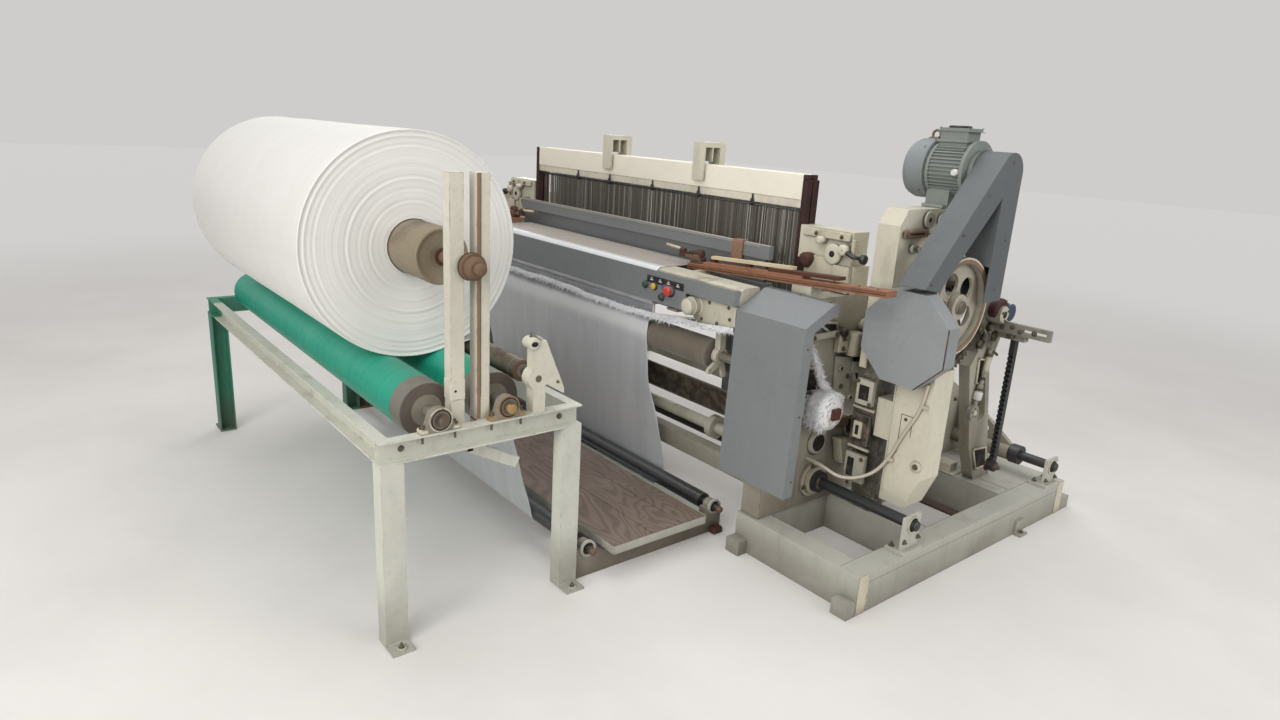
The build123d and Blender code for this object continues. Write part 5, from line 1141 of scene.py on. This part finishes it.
def winder_frame():
    """Post feet, web of the channel post with dirt and painted shade along it, bracket fittings, foot bolts and weld
    beads.
    """
    piece = Piece("winder_fittings", slot="cream_paint")
    for piece.side in (-1, 1):
        piece.of("posts").bar(1.0400, 1.0898, -1.2525, -1.2015, 0.7800, 0.8480, 0.003)
        # Painted shade in the hole of the post foot
        piece.of("dark_hole").turned(((1.0899, 0.0042), (1.0903, 0.0042)), (0, -1.236, 0.812), segments=16)
        # Brown strip on the post's web: dirt and painted shade; the dark line beside it is painted shade in the channel
        piece.of("brown_strip").bar(1.0872, 1.0882, -1.1600, -1.1478, 0.7050, 1.4835, 0.0004)
        piece.of("dark_hole").bar(1.0872, 1.0882, -1.1476, -1.1464, 0.7800, 1.4835, 0.0003)
        piece.of("posts").turned(((1.1273, 0.0215), (1.1303, 0.0205), (1.1305, 0.0130)), (0, -0.974, 0.942),
                                 segments=36)
        # Painted shade in the bracket boss's hole
        piece.of("dark_hole").plate([(-0.974 + 0.013 * cos(t), 0.942 + 0.0085 * sin(t)) for t in turns(24)],
                                    1.1303, 1.1311)
        piece.of("bolt").bolt((1.105, -0.974, 0.9625), (0, 0, 1), 0.0055, 0.012, False)
        piece.bolt((1.1273, -0.880, 0.800), (1, 0, 0), 0.0045, 0.006)
        turn = Matrix.Translation((piece.side * 1.105, -0.906, 0.868)) @ Matrix.Rotation(radians(-67), 4, "X")
        piece.of("posts").bar(-0.019, 0.019, -0.100, 0.108, -0.0030, 0.0030, 0.0015, turn)
        if piece.side > 0:
            turn = Matrix.Translation((1.050, -1.085, 0.556)) @ Matrix.Rotation(radians(-28), 4, "X")
            piece.of("winder").bars((-0.014, 0.014, -0.105, 0.105, -0.020, 0.020, 0.002, turn),
                                    (1.036, 1.064, -1.190, -1.160, 0.585, 0.6248, 0.002))
        for low_y, high_y in ((-1.500, -1.425), (-0.850, -0.775)):
            middle = (low_y + high_y) / 2
            piece.of("winder").turned(((0.0100, 0.020), (0.0125, 0.0195), (0.0128, 0.008)), (1.158, middle, 0), "Z", 28)
            piece.weld((1.128, low_y + 0.004, 0.0105), (1.128, high_y - 0.004, 0.0105), 0.0035, int(100 * middle))
            piece.weld((1.070, low_y - 0.0005, 0.6245), (1.124, low_y - 0.0005, 0.6245), 0.003, 7)
            piece.of("bolt").bolt((1.158, middle, 0.0125), (0, 0, 1), 0.0075, 0.010)
        piece.of("winder").weld((1.0885, -0.9735, 0.7010), (1.1240, -0.9735, 0.7010), 0.0030, 8)
        for y in (-1.250, -1.162):
            piece.of("rust").weld((1.0450, y, 0.7012), (1.0860, y, 0.7012), 0.0035, 9)
    piece.done()
    disc = Piece("spreader_end_discs", "spreader", "dark_steel")
    for disc.side in (-1, 1):
        disc.of("rust").turned(((1.0202, 0.0378), (1.0222, 0.0368), (1.0228, 0.0240)), (0, -0.955, 0.821), segments=40)
        disc.of("end_light").ring(1.0229 if disc.side > 0 else 1.0230, 0.006, 0.0124, 0.0230, -0.955, 0.821, 32)
        disc.ring(0.9850, 0.003, 0.0376, 0.0384, -0.955, 0.821, 40)
    disc.done()


def floor_fittings():
    """Green edging of the footboard, plank joints, bearing rings and the rusty foot block."""
    piece = Piece("floor_fittings", slot="base_paint")
    piece.of("edge_green").bar(-1.1755, 1.1755, -0.1745, -0.1690, 0.1240, 0.1318, 0.002)
    piece.of("winder").bars((1.1762, 1.1790, -0.6395, -0.1725, 0.0955, 0.1292, 0.001),
                            (-1.1750, 1.1790, -0.6425, -0.6402, 0.0955, 0.1292, 0.001))
    for y in (-0.452, -0.300):
        piece.of("dark_hole").bar(-1.1750, 1.1695, y - 0.0007, y + 0.0007, 0.1299, 0.1306, 0.0002)
    for x, y in product((-1.05, -0.35, 0.35, 1.05), (-0.600, -0.400, -0.220)):
        piece.of("bolt").turned(((0.1300, 0.0050), (0.1309, 0.0044), (0.1312, 0.0015)), (x, y, 0), "Z", 14)
    for piece.side in (-1, 1):
        for y in (-0.717, -0.067):
            piece.of("rust_dark").ring(1.1101, 0.0039, 0.0165, 0.0242, y, 0.118, 32)
            piece.of("winder").ring(1.1101, 0.0099, 0.0245, 0.0330, y, 0.118, 40)
            piece.of("bolt").bolts([(1.102, y + step, 0.1100) for step in (-0.034, 0.034)], (0, 0, 1), 0.0055, 0.004)
            piece.of("rust").bar(1.060, 1.1095, y - 0.050, y + 0.050, 0.0020, 0.0130, 0.003)
        piece.of("rust_dark").bar(1.1105, 1.1480, -0.086, -0.032, 0.0005, 0.0300, 0.006)
        piece.bolt((1.129, -0.059, 0.0300), (0, 0, 1), 0.0080, 0.006)
        piece.weld((1.1105, -0.640, 0.0880), (1.1105, -0.180, 0.0880), 0.0025, 12)
    piece.done()
    for body, y in (("front_floor_roller", -0.717), ("back_floor_roller", -0.067)):
        end = Piece(body + "_ends", body, "dark_steel")
        for end.side in (-1, 1):
            end.of("rust_dark").ring(1.0335, 0.0025, 0.0155, 0.0335, y, 0.118, 36)
            end.of("rust").turned(((1.1402, 0.0140), (1.1560, 0.0132), (1.1600, 0.0090), (1.1605, 0.0030)),
                                  (0, y, 0.118), segments=24)
            for x in (0.985, 1.000, 1.020):
                end.of("steel_dark").ring(x - 0.001, 0.002, 0.0338, 0.0347, y, 0.118, 40)
        end.done()


winder_bearings()
batch_ends()
winder_frame()
floor_fittings()


def motor_details():
    """Lifting eye, terminal box, flange bolts, fan grille and feet of the motor."""
    piece = Piece("motor_fittings", slot="motor_paint")
    y, z = 0.690, 1.545
    piece.of("motor_body").bars((1.462, 1.588, y - 0.052, y + 0.052, 1.6480, 1.6600, 0.003),
                                (1.458, 1.602, y - 0.0505, y + 0.0505, 1.6905, 1.6925, 0.0008))
    piece.of("black").plate([(1.522 + 0.046 * cos(t), y + 0.034 * sin(t)) for t in turns(40)],
                            1.7040, 1.7130, "XY", 0.003)
    piece.of("bolt").bolts([(x, y + dy, 1.7042) for x, dy in product((1.466, 1.594), (-0.043, 0.043))],
                           (0, 0, 1), 0.0040, washer=False)
    piece.bolts([(1.6098, y + 0.1135 * cos(a), z + 0.1135 * sin(a)) for a in turns(4, pi / 4)],
                (-1, 0, 0), 0.0070, 0.003)
    piece.of("steel_dirty").rod([(1.425 + 0.017 * cos(t), y, 1.676 + 0.017 * sin(t)) for t in (*turns(20), 2 * pi)],
                                0.0050, 8)
    piece.bar(1.413, 1.437, y - 0.014, y + 0.014, 1.6450, 1.6640, 0.003)
    for x, dy, low in ((1.392, 0.018, 1.640), (1.450, -0.030, 1.636), (1.446, 0.020, 1.632)):
        piece.turned(((low, 0.012), (1.664, 0.011), (1.668, 0.006)), (x, y + dy, 0), "Z", 18)
    piece.of("motor_body")
    for a in turns(22, pi / 22):
        turn = Matrix.Translation((0, y, z)) @ Matrix.Rotation(a, 4, "X")
        piece.bar(1.4555, 1.6150, -0.0020, 0.0020, 0.0935, 0.1040, 0.0008, turn)
    for x in (1.458, 1.604):
        piece.turned(((x, 0.1045), (x + 0.004, 0.1075), (x + 0.010, 0.1075), (x + 0.014, 0.1045)), (0, y, z), "X", 72)
    for step in (-1, 1):
        piece.bar(1.4630, 1.5570, y + step * 0.070, y + step * 0.100, 1.4002, 1.4140, 0.003)
    piece.of("label_pale").turned(((y - 0.128, 0.010), (y - 0.118, 0.013), (y - 0.100, 0.013)),
                                  (1.596, 0, 1.540), "Y", 20)
    piece.of("motor").turned(((1.4455, 0.1165), (1.4475, 0.1180), (1.4520, 0.1180), (1.4540, 0.1160)),
                             (0, y, z), "X", 72)
    # Painted shade: dark rings for the openings of the fan cover
    piece.of("dark_hole")
    for radius in (0.030, 0.046, 0.062, 0.078):
        piece.ring(1.3488, 0.0014, radius, radius + 0.0060, y, z, 56)
    piece.of("bolt")
    for a in turns(4, pi / 4):
        piece.bolt((1.432, y + 0.1162 * cos(a), z + 0.1162 * sin(a)), (0, cos(a), sin(a)), 0.0035, washer=False)
    piece.bolts([(x, y + dy, 1.4003) for x, dy in product((1.475, 1.545), (-0.088, 0.088))], (0, 0, 1), 0.0075, 0.006)
    piece.done()


def stand_details():
    """Bosses, slotted slide, covers and screws on the stands beneath the motor."""
    piece = Piece("stand_fittings", slot="cream_paint")
    face, front = 1.5652, 0.3298
    for piece.side in (-1, 1):
        top = 1.33 if piece.side > 0 else 1.10
        for y, z, radius, lift in ((0.500, top + 0.030, 0.034, 0.007), (0.590, top + 0.025, 0.030, 0.005),
                                   (0.380, top - 0.020, 0.015, 0.009), (0.414, top - 0.075, 0.018, 0.012),
                                   (0.450, top - 0.080, 0.013, 0.014), (0.360, 1.000, 0.020, 0.006),
                                   (0.700, top - 0.10, 0.024, 0.006)):
            piece.of("cream").turned(((face, radius), (face + lift * 0.8, radius * 0.94), (face + lift, radius * 0.82),
                                      (face + lift, radius * 0.3)), (0, y, z), segments=36)
            # Painted shade in each boss's hole
            piece.of("dark_hole").turned(((face + lift + 0.0001, radius * 0.28), (face + lift + 0.0004, radius * 0.26)),
                                         (0, y, z), segments=16)
        piece.of("brown_strip").bar(face, face + 0.010, 0.345, 0.500, top - 0.034, top - 0.006, 0.003)
        # Painted shade in the slide's slot
        piece.of("dark_hole").bar(face + 0.0101, face + 0.0106, 0.365, 0.470, top - 0.024, top - 0.016, 0.0002)
        piece.of("bolt").bolts([(face + 0.010, y, top - 0.020) for y in (0.355, 0.490)], (1, 0, 0), 0.0060, 0.005)
        # The near-black rows are painted shade in the recesses of the covers
        for material, x0, x1, z0, z1, depth, back in (
                ("cream", 1.478, 1.556, 0.630, 0.735, 0.0260, 0.0),
                ("dark_hole", 1.494, 1.540, 0.652, 0.712, 0.0268, 0.026),
                ("grease", 1.470, 1.556, 0.460, 0.590, 0.0180, 0.0),
                ("worn_cream", 1.490, 1.530, 0.490, 0.560, 0.0300, 0.018),
                ("dark_hole", 1.502, 1.518, 0.505, 0.545, 0.0306, 0.030),
                ("worn_cream", 1.466, 1.500, 0.775, 0.880, 0.0120, 0.0),
                ("cream", 1.466, 1.560, 0.300, 0.420, 0.0220, 0.0),
                ("dark_hole", 1.480, 1.512, 0.320, 0.400, 0.0226, 0.022),
                ("worn_cream", 1.462, 1.564, 0.605, 0.618, 0.0100, 0.0),
                ("worn_cream", 1.462, 1.564, 0.438, 0.450, 0.0120, 0.0)):
            piece.of(material).bar(x0, x1, front - depth, front - back, z0, z1, 0.003)
        piece.of("bolt").bolts([(x, front - out, z) for x, out, z in (
            (1.486, 0.026, 0.725), (1.548, 0.026, 0.640), (1.480, 0.018, 0.575), (1.545, 0.018, 0.475),
            (1.545, 0.022, 0.330), (1.545, 0.022, 0.405))], (0, -1, 0), 0.0070, 0.004)
        piece.turned(((front, 0.020), (0.3000, 0.019), (0.2970, 0.012)), (1.535, 0, 0.830), "Y", 24)
        piece.bolts([(face - 0.0055, y, z) for y, z in ((0.430, 0.520), (0.470, 0.300), (0.430, 0.220))],
                    (1, 0, 0), 0.0080, 0.006)
    piece.done()


def wheel_details():
    """Brown band and worn rim of the flywheel, its hub cap and keys, and grease by the rim."""
    piece = Piece("flywheel_bands", "main_wheel", "cream_paint")
    x, y, z = 1.7312, 0.530, 1.050
    piece.of("brown_strip").ring(x, 0.0016, 0.168, 0.181, y, z, 96)
    piece.of("worn_cream").ring(x, 0.0024, 0.182, 0.1895, y, z, 96)
    piece.of("grease").ring(x + 0.0002, 0.0010, 0.1660, 0.1680, y, z, 96)
    piece.of("steel_dirty").turned(((1.7412, 0.0262), (1.7440, 0.0240), (1.7445, 0.0080)), (0, y, z), segments=32)
    for a in turns(4, 0.4):
        piece.turned(((1.7050, 0.0070), (1.7120, 0.0066), (1.7130, 0.0030)),
                     (0, y + 0.036 * cos(a), z + 0.036 * sin(a)), segments=12)
    piece.done()


def guard_details():
    """Folded seam, ring and screws of the belt guard."""
    piece = Piece("guard_fittings", slot="blue_grey_paint")
    outer, inner = 1.7562, 1.6458
    for y, z in ((0.270, 1.160), (0.430, 1.330), (0.560, 1.470), (0.700, 1.590), (0.735, 1.300), (0.720, 1.110)):
        piece.of("bolt").turned(((outer, 0.0065), (outer + 0.0020, 0.0056), (outer + 0.0026, 0.0020)), (0, y, z),
                                segments=16)
        # Painted shade in the screw slot
        piece.of("dark_hole").bar(outer + 0.0024, outer + 0.0028, y - 0.0045, y + 0.0045, z - 0.0005, z + 0.0005,
                                  0.0001)
    piece.of("guard").weld((1.648, 0.2362, 1.1450), (1.754, 0.2362, 1.1450), 0.0018, 5)
    piece.ring(inner - 0.0022, 0.0020, 0.076, 0.084, 0.690, 1.545, 48)
    piece.done()


def column_details():
    """Panel line, screw, clip and foot boss of the columns, seams of the wheel covers."""
    piece = Piece("column_fittings", slot="cream_paint")
    face = 0.3298
    for piece.side in (-1, 1):
        piece.of("dark_hole")
        for x0, x1, z0 in ((1.681, 1.730, 0.641), (1.730, 1.730, 0.560), (1.681, 1.681, 0.480)):
            piece.bar(x0 - 0.0011, x1 + 0.0011, face - 0.0007, face, z0 - 0.0011, 0.6421, 0.0002)
        piece.of("bolt").bolt((1.701, face, 0.624), (0, -1, 0), 0.0055)
        piece.bolt((1.774, face - 0.006, 0.455), (0, -1, 0), 0.0090, 0.004)
        piece.of("worn_cream").turned(((face - 0.0002, 0.024), (face - 0.006, 0.022), (face - 0.0062, 0.010)),
                                      (1.774, 0, 0.455), "Y", 32)
        piece.of("cream_pale").bar(1.6380, 1.6420, face - 0.0030, face, 0.300, 0.820, 0.001)
        radius = 0.1765 * 1.0795
        corners = [(1.683 + piece.side * radius * cos(a), 0.2570, 0.947 + radius * sin(a)) for a in turns(8, pi / 8)]
        piece.of("track_edge")
        for k in (6, 7) if piece.side > 0 else (4, 5):
            piece.rod((corners[k], corners[(k + 1) % 8]), 0.0024, 8)
    piece.of("conduit").bars((1.650, 1.678, 0.3150, 0.3298, 0.440, 0.455, 0.002),
                             (1.7560, 1.7900, 0.3150, 0.3298, 0.690, 0.702, 0.002))
    piece.done()


def side_frame_details():
    """Ribs, bosses, holes, bearing housings and screws of the cast side frames."""
    piece = Piece("side_frame_castings", slot="cream_paint", bevel=0.004)
    face = 1.3582

    def shape(material, outline, lift, edge=0.0, base=0.0):
        """A plate on the face, its outline in millimetres."""
        piece.of(material).plate([(y / 1000, z / 1000) for y, z in outline], face + base, face + lift, edge=edge)

    for piece.side in (-1, 1):
        # Painted shade: dark sheets where the recesses between the ribs lie in shade, then the ribs and castings round
        # them
        for outline in (
                ((403, 786), (500, 773), (622, 630), (453, 667)), ((417, 502), (664, 528), (727, 420), (431, 429)),
                ((120, 767), (195, 760), (213, 661), (130, 668)), ((162, 948), (282, 935), (296, 865)),
                ((800, 640), (915, 590), (915, 450), (800, 505)), ((960, 575), (1080, 520), (1080, 385), (960, 430)),
                ((1120, 500), (1230, 450), (1230, 330), (1120, 370)), ((300, 610), (380, 600), (385, 545), (305, 555)),
                ((500, 250), (700, 240), (700, 180), (500, 190))):
            shape("dark_hole", outline, 0.0012)
            corners = [(face + 0.004, y / 1000, z / 1000) for y, z in outline]
            piece.of("cream").rod(corners + corners[:1], 0.0075, 8)
        # The near-black entry among these is painted shade in the casting's hollow
        for values in (("worn_cream", ((285, 900), (455, 880), (455, 800), (285, 815)), 0.030, 0.004),
                       ("cream", ((300, 795), (400, 780), (415, 590), (310, 600)), 0.012, 0.003),
                       ("worn_cream", ((533, 625), (690, 600), (706, 521), (545, 545)), 0.040, 0.004),
                       ("dark_hole", ((552, 602), (612, 592), (616, 560), (556, 570)), 0.0412, 0.0, 0.0405),
                       ("grease", ((603, 470), (725, 450), (750, 330), (633, 350)), 0.050, 0.004),
                       ("worn_cream", ((345, 440), (520, 400), (560, 300), (380, 320)), 0.048, 0.006),
                       ("cream", ((520, 400), (700, 345), (716, 262), (540, 300)), 0.036, 0.005),
                       ("cream", ((405, 760), (470, 750), (470, 700), (405, 710)), 0.018, 0.002, 0.001)):
            shape(*values)
        piece.of("worn_cream").turned(((0.795, 0.028), (0.800, 0.032), (0.885, 0.032), (0.892, 0.026), (0.892, 0.010)),
                                      (face + 0.032, 0.375, 0), "Z", 28)
        piece.of("steel_dirty")
        for start, end in (((0.425, 0.515), (0.700, 0.545)), ((0.435, 0.440), (0.695, 0.500)),
                           ((0.620, 0.360), (0.700, 0.440))):
            piece.rod([(face + 0.030, *start), (face + 0.034, *end)], 0.010, 12)
        piece.rod([(face + 0.05, 0.620, 0.570), (face + 0.05, 0.560, 0.480), (face + 0.04, 0.530, 0.400)], 0.006, 10)
        piece.bar(face, face + 0.0560, 0.655, 0.705, 0.370, 0.430)
        piece.of("cream").bars((face, face + 0.022, 0.100, 0.300, 0.880, 0.905),
                               (face, face + 0.022, 0.405, 0.520, 0.780, 0.800))
        piece.of("rust").bar(face, face + 0.026, 0.350, 0.420, 0.480, 0.520)
        for material, y, z, radius, lift, hole in (
                ("grease", 0.303, 0.897, 0.020, 0.042, 0.6), ("cream", 0.333, 0.740, 0.012, 0.020, 0.65),
                ("cream", 0.421, 0.600, 0.013, 0.018, 0.6), ("cream", 0.250, 0.430, 0.052, 0.014, 0.72),
                ("cream", 0.470, 0.345, 0.022, 0.060, 0.5), ("cream", 0.430, 0.372, 0.013, 0.058, 0.5),
                ("worn_cream", 0.600, 0.330, 0.020, 0.046, 0.5), ("steel_dirty", 0.653, 0.571, 0.024, 0.056, 0.4),
                ("grease", 0.690, 0.440, 0.026, 0.060, 0.5), ("worn_cream", 0.460, 0.905, 0.030, 0.024, 0.4),
                ("cream", -0.020, 0.752, 0.040, 0.014, 0.55), ("cream", 0.078, 0.699, 0.036, 0.014, 0.6)):
            piece.of(material).turned(((face, radius * 1.12), (face + 0.004, radius),
                                       (face + lift - 0.003, radius * 0.96), (face + lift, radius * 0.86),
                                       (face + lift, radius * hole)), (0, y, z))
            # Painted shade: a dark disc in each boss's hole
            piece.of("dark_hole").turned(((face + lift, radius * hole), (face + lift + 0.0006, radius * hole * 0.9)),
                                         (0, y, z), segments=24)
        piece.of("worn_cream").ring(face, 0.030, 0.0462, 0.0600, 0.247, 0.268, 48)
        piece.ring(face, 0.012, 0.0600, 0.0760, 0.247, 0.268, 48)
        piece.of("bolt").bolts([(face + lift, y, z) for y, z, lift in (
            (0.430, 0.790, 0.022), (0.500, 0.790, 0.022), (0.130, 0.893, 0.022), (0.270, 0.893, 0.022),
            (0.900, 0.700, 0.0), (1.100, 0.600, 0.0), (1.300, 0.440, 0.0), (0.720, 0.420, 0.050), (0.640, 0.445, 0.050),
            (0.310, 0.830, 0.030), (0.440, 0.815, 0.030), (0.310, 0.870, 0.030), (0.350, 0.660, 0.012),
            (0.385, 0.700, 0.012), (0.230, 0.330, 0.012), (0.310, 0.245, 0.012), (0.185, 0.245, 0.012),
            (0.560, 0.360, 0.036), (0.680, 0.300, 0.036))], (1, 0, 0), 0.0085, 0.004)
    piece.done()


def heald_end_castings():
    """Castings that carry the heald guides at the loom's ends, with their knobs and slides."""
    piece = Piece("heald_end_castings", slot="cream_paint", bevel=0.004)
    back = 0.3558
    for piece.side in (-1, 1):
        piece.of("worn_cream").bars((1.3402, 1.3580, 0.3400, 0.3560, 1.1700, 1.2600),
                                    (1.090, 1.330, 0.3420, back, 1.2460, 1.2800),
                                    (1.270, 1.350, 0.3300, back, 1.0402, 1.1500),
                                    (1.110, 1.272, 0.3440, 0.3556, 1.0402, 1.1700))
        piece.of("rust_dark").turned(((back, 0.030), (0.3300, 0.031), (0.3180, 0.026), (0.3150, 0.012)),
                                     (1.130, 0, 1.150), "Y", 28, wobble=lambda s, t: 1 + 0.08 * sin(3 * t))
        for x, z, segments, profile in (
                (1.255, 1.190, 36, ((back, 0.042), (0.3380, 0.042), (0.3360, 0.036), (0.3360, 0.014))),
                (1.315, 1.215, 28, ((back, 0.022), (0.3180, 0.021), (0.3150, 0.016), (0.3150, 0.006))),
                (1.200, 1.240, 24, ((back, 0.016), (0.3100, 0.015), (0.3080, 0.008)))):
            piece.of("cream_pale").turned(profile, (x, 0, z), "Y", segments)
        piece.of("steel_dark").rod([(1.315, 0.322, 1.215), (1.360, 0.330, 1.195), (1.395, 0.345, 1.190)], 0.008, 12)
        piece.turned(((1.392, 0.014), (1.396, 0.019), (1.412, 0.019), (1.416, 0.012)), (0, 0.345, 1.190), "X", 20)
        piece.of("bolt").bolts(((1.160, 0.3420, 1.262), (1.290, 0.3420, 1.262), (1.290, 0.3300, 1.080),
                                (1.335, 0.3300, 1.080), (1.200, back, 1.120), (1.230, back, 1.100)),
                               (0, -1, 0), 0.0070, 0.004)
        # Painted shade in the knob's hole
        piece.of("dark_hole").turned(((0.3358, 0.0135), (0.3352, 0.0120)), (1.255, 0, 1.190), "Y", 24)
    piece.done()


def lever_details():
    """Greasy head with its brown cap, blue pulley, turnbuckle and the bolts of the lever."""
    piece = Piece("lever_fittings", slot="dark_steel")
    head, pivot = (0, 0.985, 0.965), (0, 0.962, 0.517)
    piece.of("red_brown").turned(((1.6250, 0.0385), (1.6300, 0.0430), (1.6360, 0.0480), (1.6620, 0.0480),
                                  (1.6700, 0.0430), (1.6720, 0.0385)), (0, 0.985, 0.985), segments=40,
                                 wobble=lambda s, t: 1 + 0.05 * sin(2 * t + 1.2))
    piece.turned(((1.6840, 0.0240), (1.6838, 0.0300), (1.6800, 0.0300)), (0, 1.082, 0.263), segments=28)
    piece.of("worn_cream").turned(((1.6802, 0.0360), (1.6840, 0.0350), (1.6860, 0.0300), (1.6860, 0.0160)), head,
                                  segments=36, wobble=lambda s, t: 1 + 0.03 * sin(4 * t))
    piece.turned(((1.6422, 0.0140), (1.6470, 0.0130), (1.6480, 0.0060)), pivot, segments=24)
    # Painted shade in the hole of the head
    piece.of("dark_hole").turned(((1.6862, 0.0155), (1.6866, 0.0140)), head, segments=24)
    for a in turns(5, 0.3):
        piece.turned(((1.6425, 0.0050), (1.6432, 0.0045)), (0, pivot[1] + 0.021 * cos(a), pivot[2] + 0.021 * sin(a)),
                     segments=12)
    piece.of("bolt").bolts([(1.6860, head[1] + 0.025 * cos(a), head[2] + 0.025 * sin(a)) for a in turns(3, 0.6)],
                           (1, 0, 0), 0.0055, 0.004, washer=False)
    piece.bolt((1.796, 1.0398, 0.902), (0, -1, 0), 0.0095, 0.005)
    piece.bolts(((1.655, 1.0398, 0.900), (1.700, 1.0398, 0.908), (1.735, 1.0398, 0.895)), (0, -1, 0), 0.0080, 0.006)
    piece.bolts(((1.7502, 1.075, 0.868), (1.7502, 1.085, 0.862)), (1, 0, 0), 0.0040, washer=False)
    piece.bolt((1.7182, 1.082, 0.263), (1, 0, 0), 0.0150, 0.008)
    piece.of("pulley_blue").turned(((1.6500, 0.0300), (1.6520, 0.0370), (1.6560, 0.0370), (1.6600, 0.0310),
                                    (1.6700, 0.0310), (1.6740, 0.0370), (1.6780, 0.0370), (1.6790, 0.0280),
                                    (1.6795, 0.0080)), (0, 1.052, 0.9670), segments=40)
    piece.of("steel_dirty").turned(((1.6200, 0.0100), (1.6500, 0.0100)), (0, 1.052, 0.9670), segments=16)
    piece.bar(1.6805, 1.7100, 1.0300, 1.0660, 0.8600, 0.8775, 0.003)
    piece.rod([(1.632, 0.930, 0.900), (1.640, 0.950, 0.870), (1.636, 0.960, 0.838), (1.630, 0.935, 0.812)], 0.007, 10)
    piece.rod([(1.626, 1.030, 0.780), (1.628, 1.070, 0.776), (1.634, 1.085, 0.764)], 0.006, 10)
    foot, top = Vector((1.634, 0.962, 0.517)), Vector((1.634, 1.023, 0.815))
    length = (top - foot).length
    turn = Matrix.Translation(foot) @ (top - foot).normalized().to_track_quat("Z", "Y").to_matrix().to_4x4()
    for material, start, end, radius, sides in (
            ("label_pale", 0.058, 0.096, 0.0190, 28), ("grease", 0.100, 0.112, 0.0165, 6),
            ("grease", 0.150, 0.162, 0.0160, 6), ("worn_cream", length - 0.115, length - 0.050, 0.0155, 28),
            ("bolt", length - 0.048, length - 0.036, 0.0160, 6)):
        piece.of(material).stack(turn, ((start, radius * 0.8), (start + 0.003, radius), (end - 0.003, radius),
                                        (end, radius * 0.8)), sides, sides > 8)
    piece.of("grease")
    for y, z, radius, high in ((0.925, 0.900, 0.028, 1.6330), (0.960, 0.860, 0.024, 1.6400),
                               (0.930, 0.830, 0.020, 1.6360), (1.050, 0.850, 0.026, 1.6300),
                               (0.990, 0.900, 0.020, 1.6450)):
        piece.turned(((1.6203, radius), (high - 0.002, radius * 0.92), (high, radius * 0.6), (high, radius * 0.2)),
                     (0, y, z), segments=24)
    # Painted shade: dark sheets for the shaded recesses, edged with worn cream rods
    for outline in (((0.955, 0.760), (1.010, 0.750), (1.022, 0.640), (0.962, 0.650)),
                    ((1.045, 0.320), (1.155, 0.310), (1.185, 0.215), (1.095, 0.215))):
        piece.of("dark_hole").plate(outline, 1.6202, 1.6212)
        piece.of("worn_cream").rod([(1.6235, y, z) for y, z in outline + outline[:1]], 0.0060, 8)
    piece.done()


def base_details():
    """Joint lines, corner plates, bearing bolts and the cross pieces of the base frames."""
    piece = Piece("base_fittings", slot="base_paint")
    for piece.side in (-1, 1):
        piece.of("base_seam")
        for y in (0.4800, 1.0470, 1.1370):
            piece.bar(1.352, 1.770, y - 0.0012, y + 0.0012, 0.1590, 0.1602, 0.0004)
        piece.bars((1.8636, 1.8646, -0.072, 1.480, 0.1200, 0.1216, 0.0003),
                   (1.7740, 1.7752, -0.070, 1.478, 0.1590, 0.1602, 0.0004))
        piece.of("brown_bar").bar(1.345, 1.776, 0.742, 0.800, 0.1180, 0.1280, 0.002)
        piece.of("cream_pale").bars((1.435, 1.520, 1.060, 1.128, 0.1592, 0.2050, 0.003),
                                    (1.400, 1.545, 1.052, 1.133, 0.1591, 0.1660, 0.002))
        piece.of("worn_cream").bars((1.8642, 1.8662, -0.073, -0.020, 0.002, 0.1580, 0.0008),
                                    (1.8642, 1.8662, 1.425, 1.480, 0.002, 0.1580, 0.0008))
        piece.weld((1.8650, -0.018, 0.010), (1.8650, -0.018, 0.150), 0.0028, 3)
        piece.weld((1.8650, 1.423, 0.010), (1.8650, 1.423, 0.150), 0.0028, 4)
        for y, z in ((0.247, 0.268), (1.356, 0.252)):
            # Painted shade in the gap round the shaft
            piece.of("dark_hole").ring(1.8482, 0.0025, 0.0228, 0.0275, y, z)
            piece.of("worn_cream").ring(1.8482, 0.0040, 0.0280, 0.0350, y, z)
            piece.of("bolt").bolts([(1.8482, y + dy, z - 0.060) for dy in (-0.044, 0.044)], (1, 0, 0), 0.0085, 0.005)
            piece.bolts([(1.800, y + dy, 0.1735) for dy in (-0.045, 0.045)], (0, 0, 1), 0.0095, 0.008)
        piece.bolt((1.885, 1.086, 0.0105), (0, 0, 1), 0.0075, 0.006)
        piece.bolts([(1.315, y, 0.1595) for y in (0.10, 0.60, 0.92, 1.28)], (0, 0, 1), 0.0095, 0.006)
    piece.done()
    for body, y, z in (("front_shaft", 0.247, 0.268), ("back_shaft", 1.356, 0.252)):
        end = Piece(body + "_rings", body, "dark_steel")
        for end.side in (-1, 1):
            end.of("grease")
            for x in (1.372, 1.400):
                end.turned(((x, 0.0225), (x + 0.003, 0.0330), (x + 0.012, 0.0330), (x + 0.015, 0.0225)), (0, y, z))
            end.of("steel_dark").turned(((1.8602, 0.0200), (1.8680, 0.0190), (1.8690, 0.0060)), (0, y, z), segments=28)
        end.done()


def cover_details():
    """Edge fold and screws of the front covers."""
    piece = Piece("front_cover_fittings", slot="blue_grey_paint", bevel=0.0006)
    for piece.side in (-1, 1):
        piece.of("sheet").bar(1.155, 1.500, 0.0965, 0.0998, 1.0562, 1.0578)
        piece.of("bolt").bolts([(x, 0.088, 1.0552) for x in (1.180, 1.325, 1.470)], (0, 0, 1), 0.0045)
        piece.bolts([(1.5022, -0.058 + 0.02 * (z - 0.64), z) for z in (0.380, 0.640, 0.900)],
                    (1, 0, 0), 0.0045, washer=False)
    piece.done()


motor_details()
stand_details()
wheel_details()
guard_details()
column_details()
side_frame_details()
heald_end_castings()
lever_details()
base_details()
cover_details()
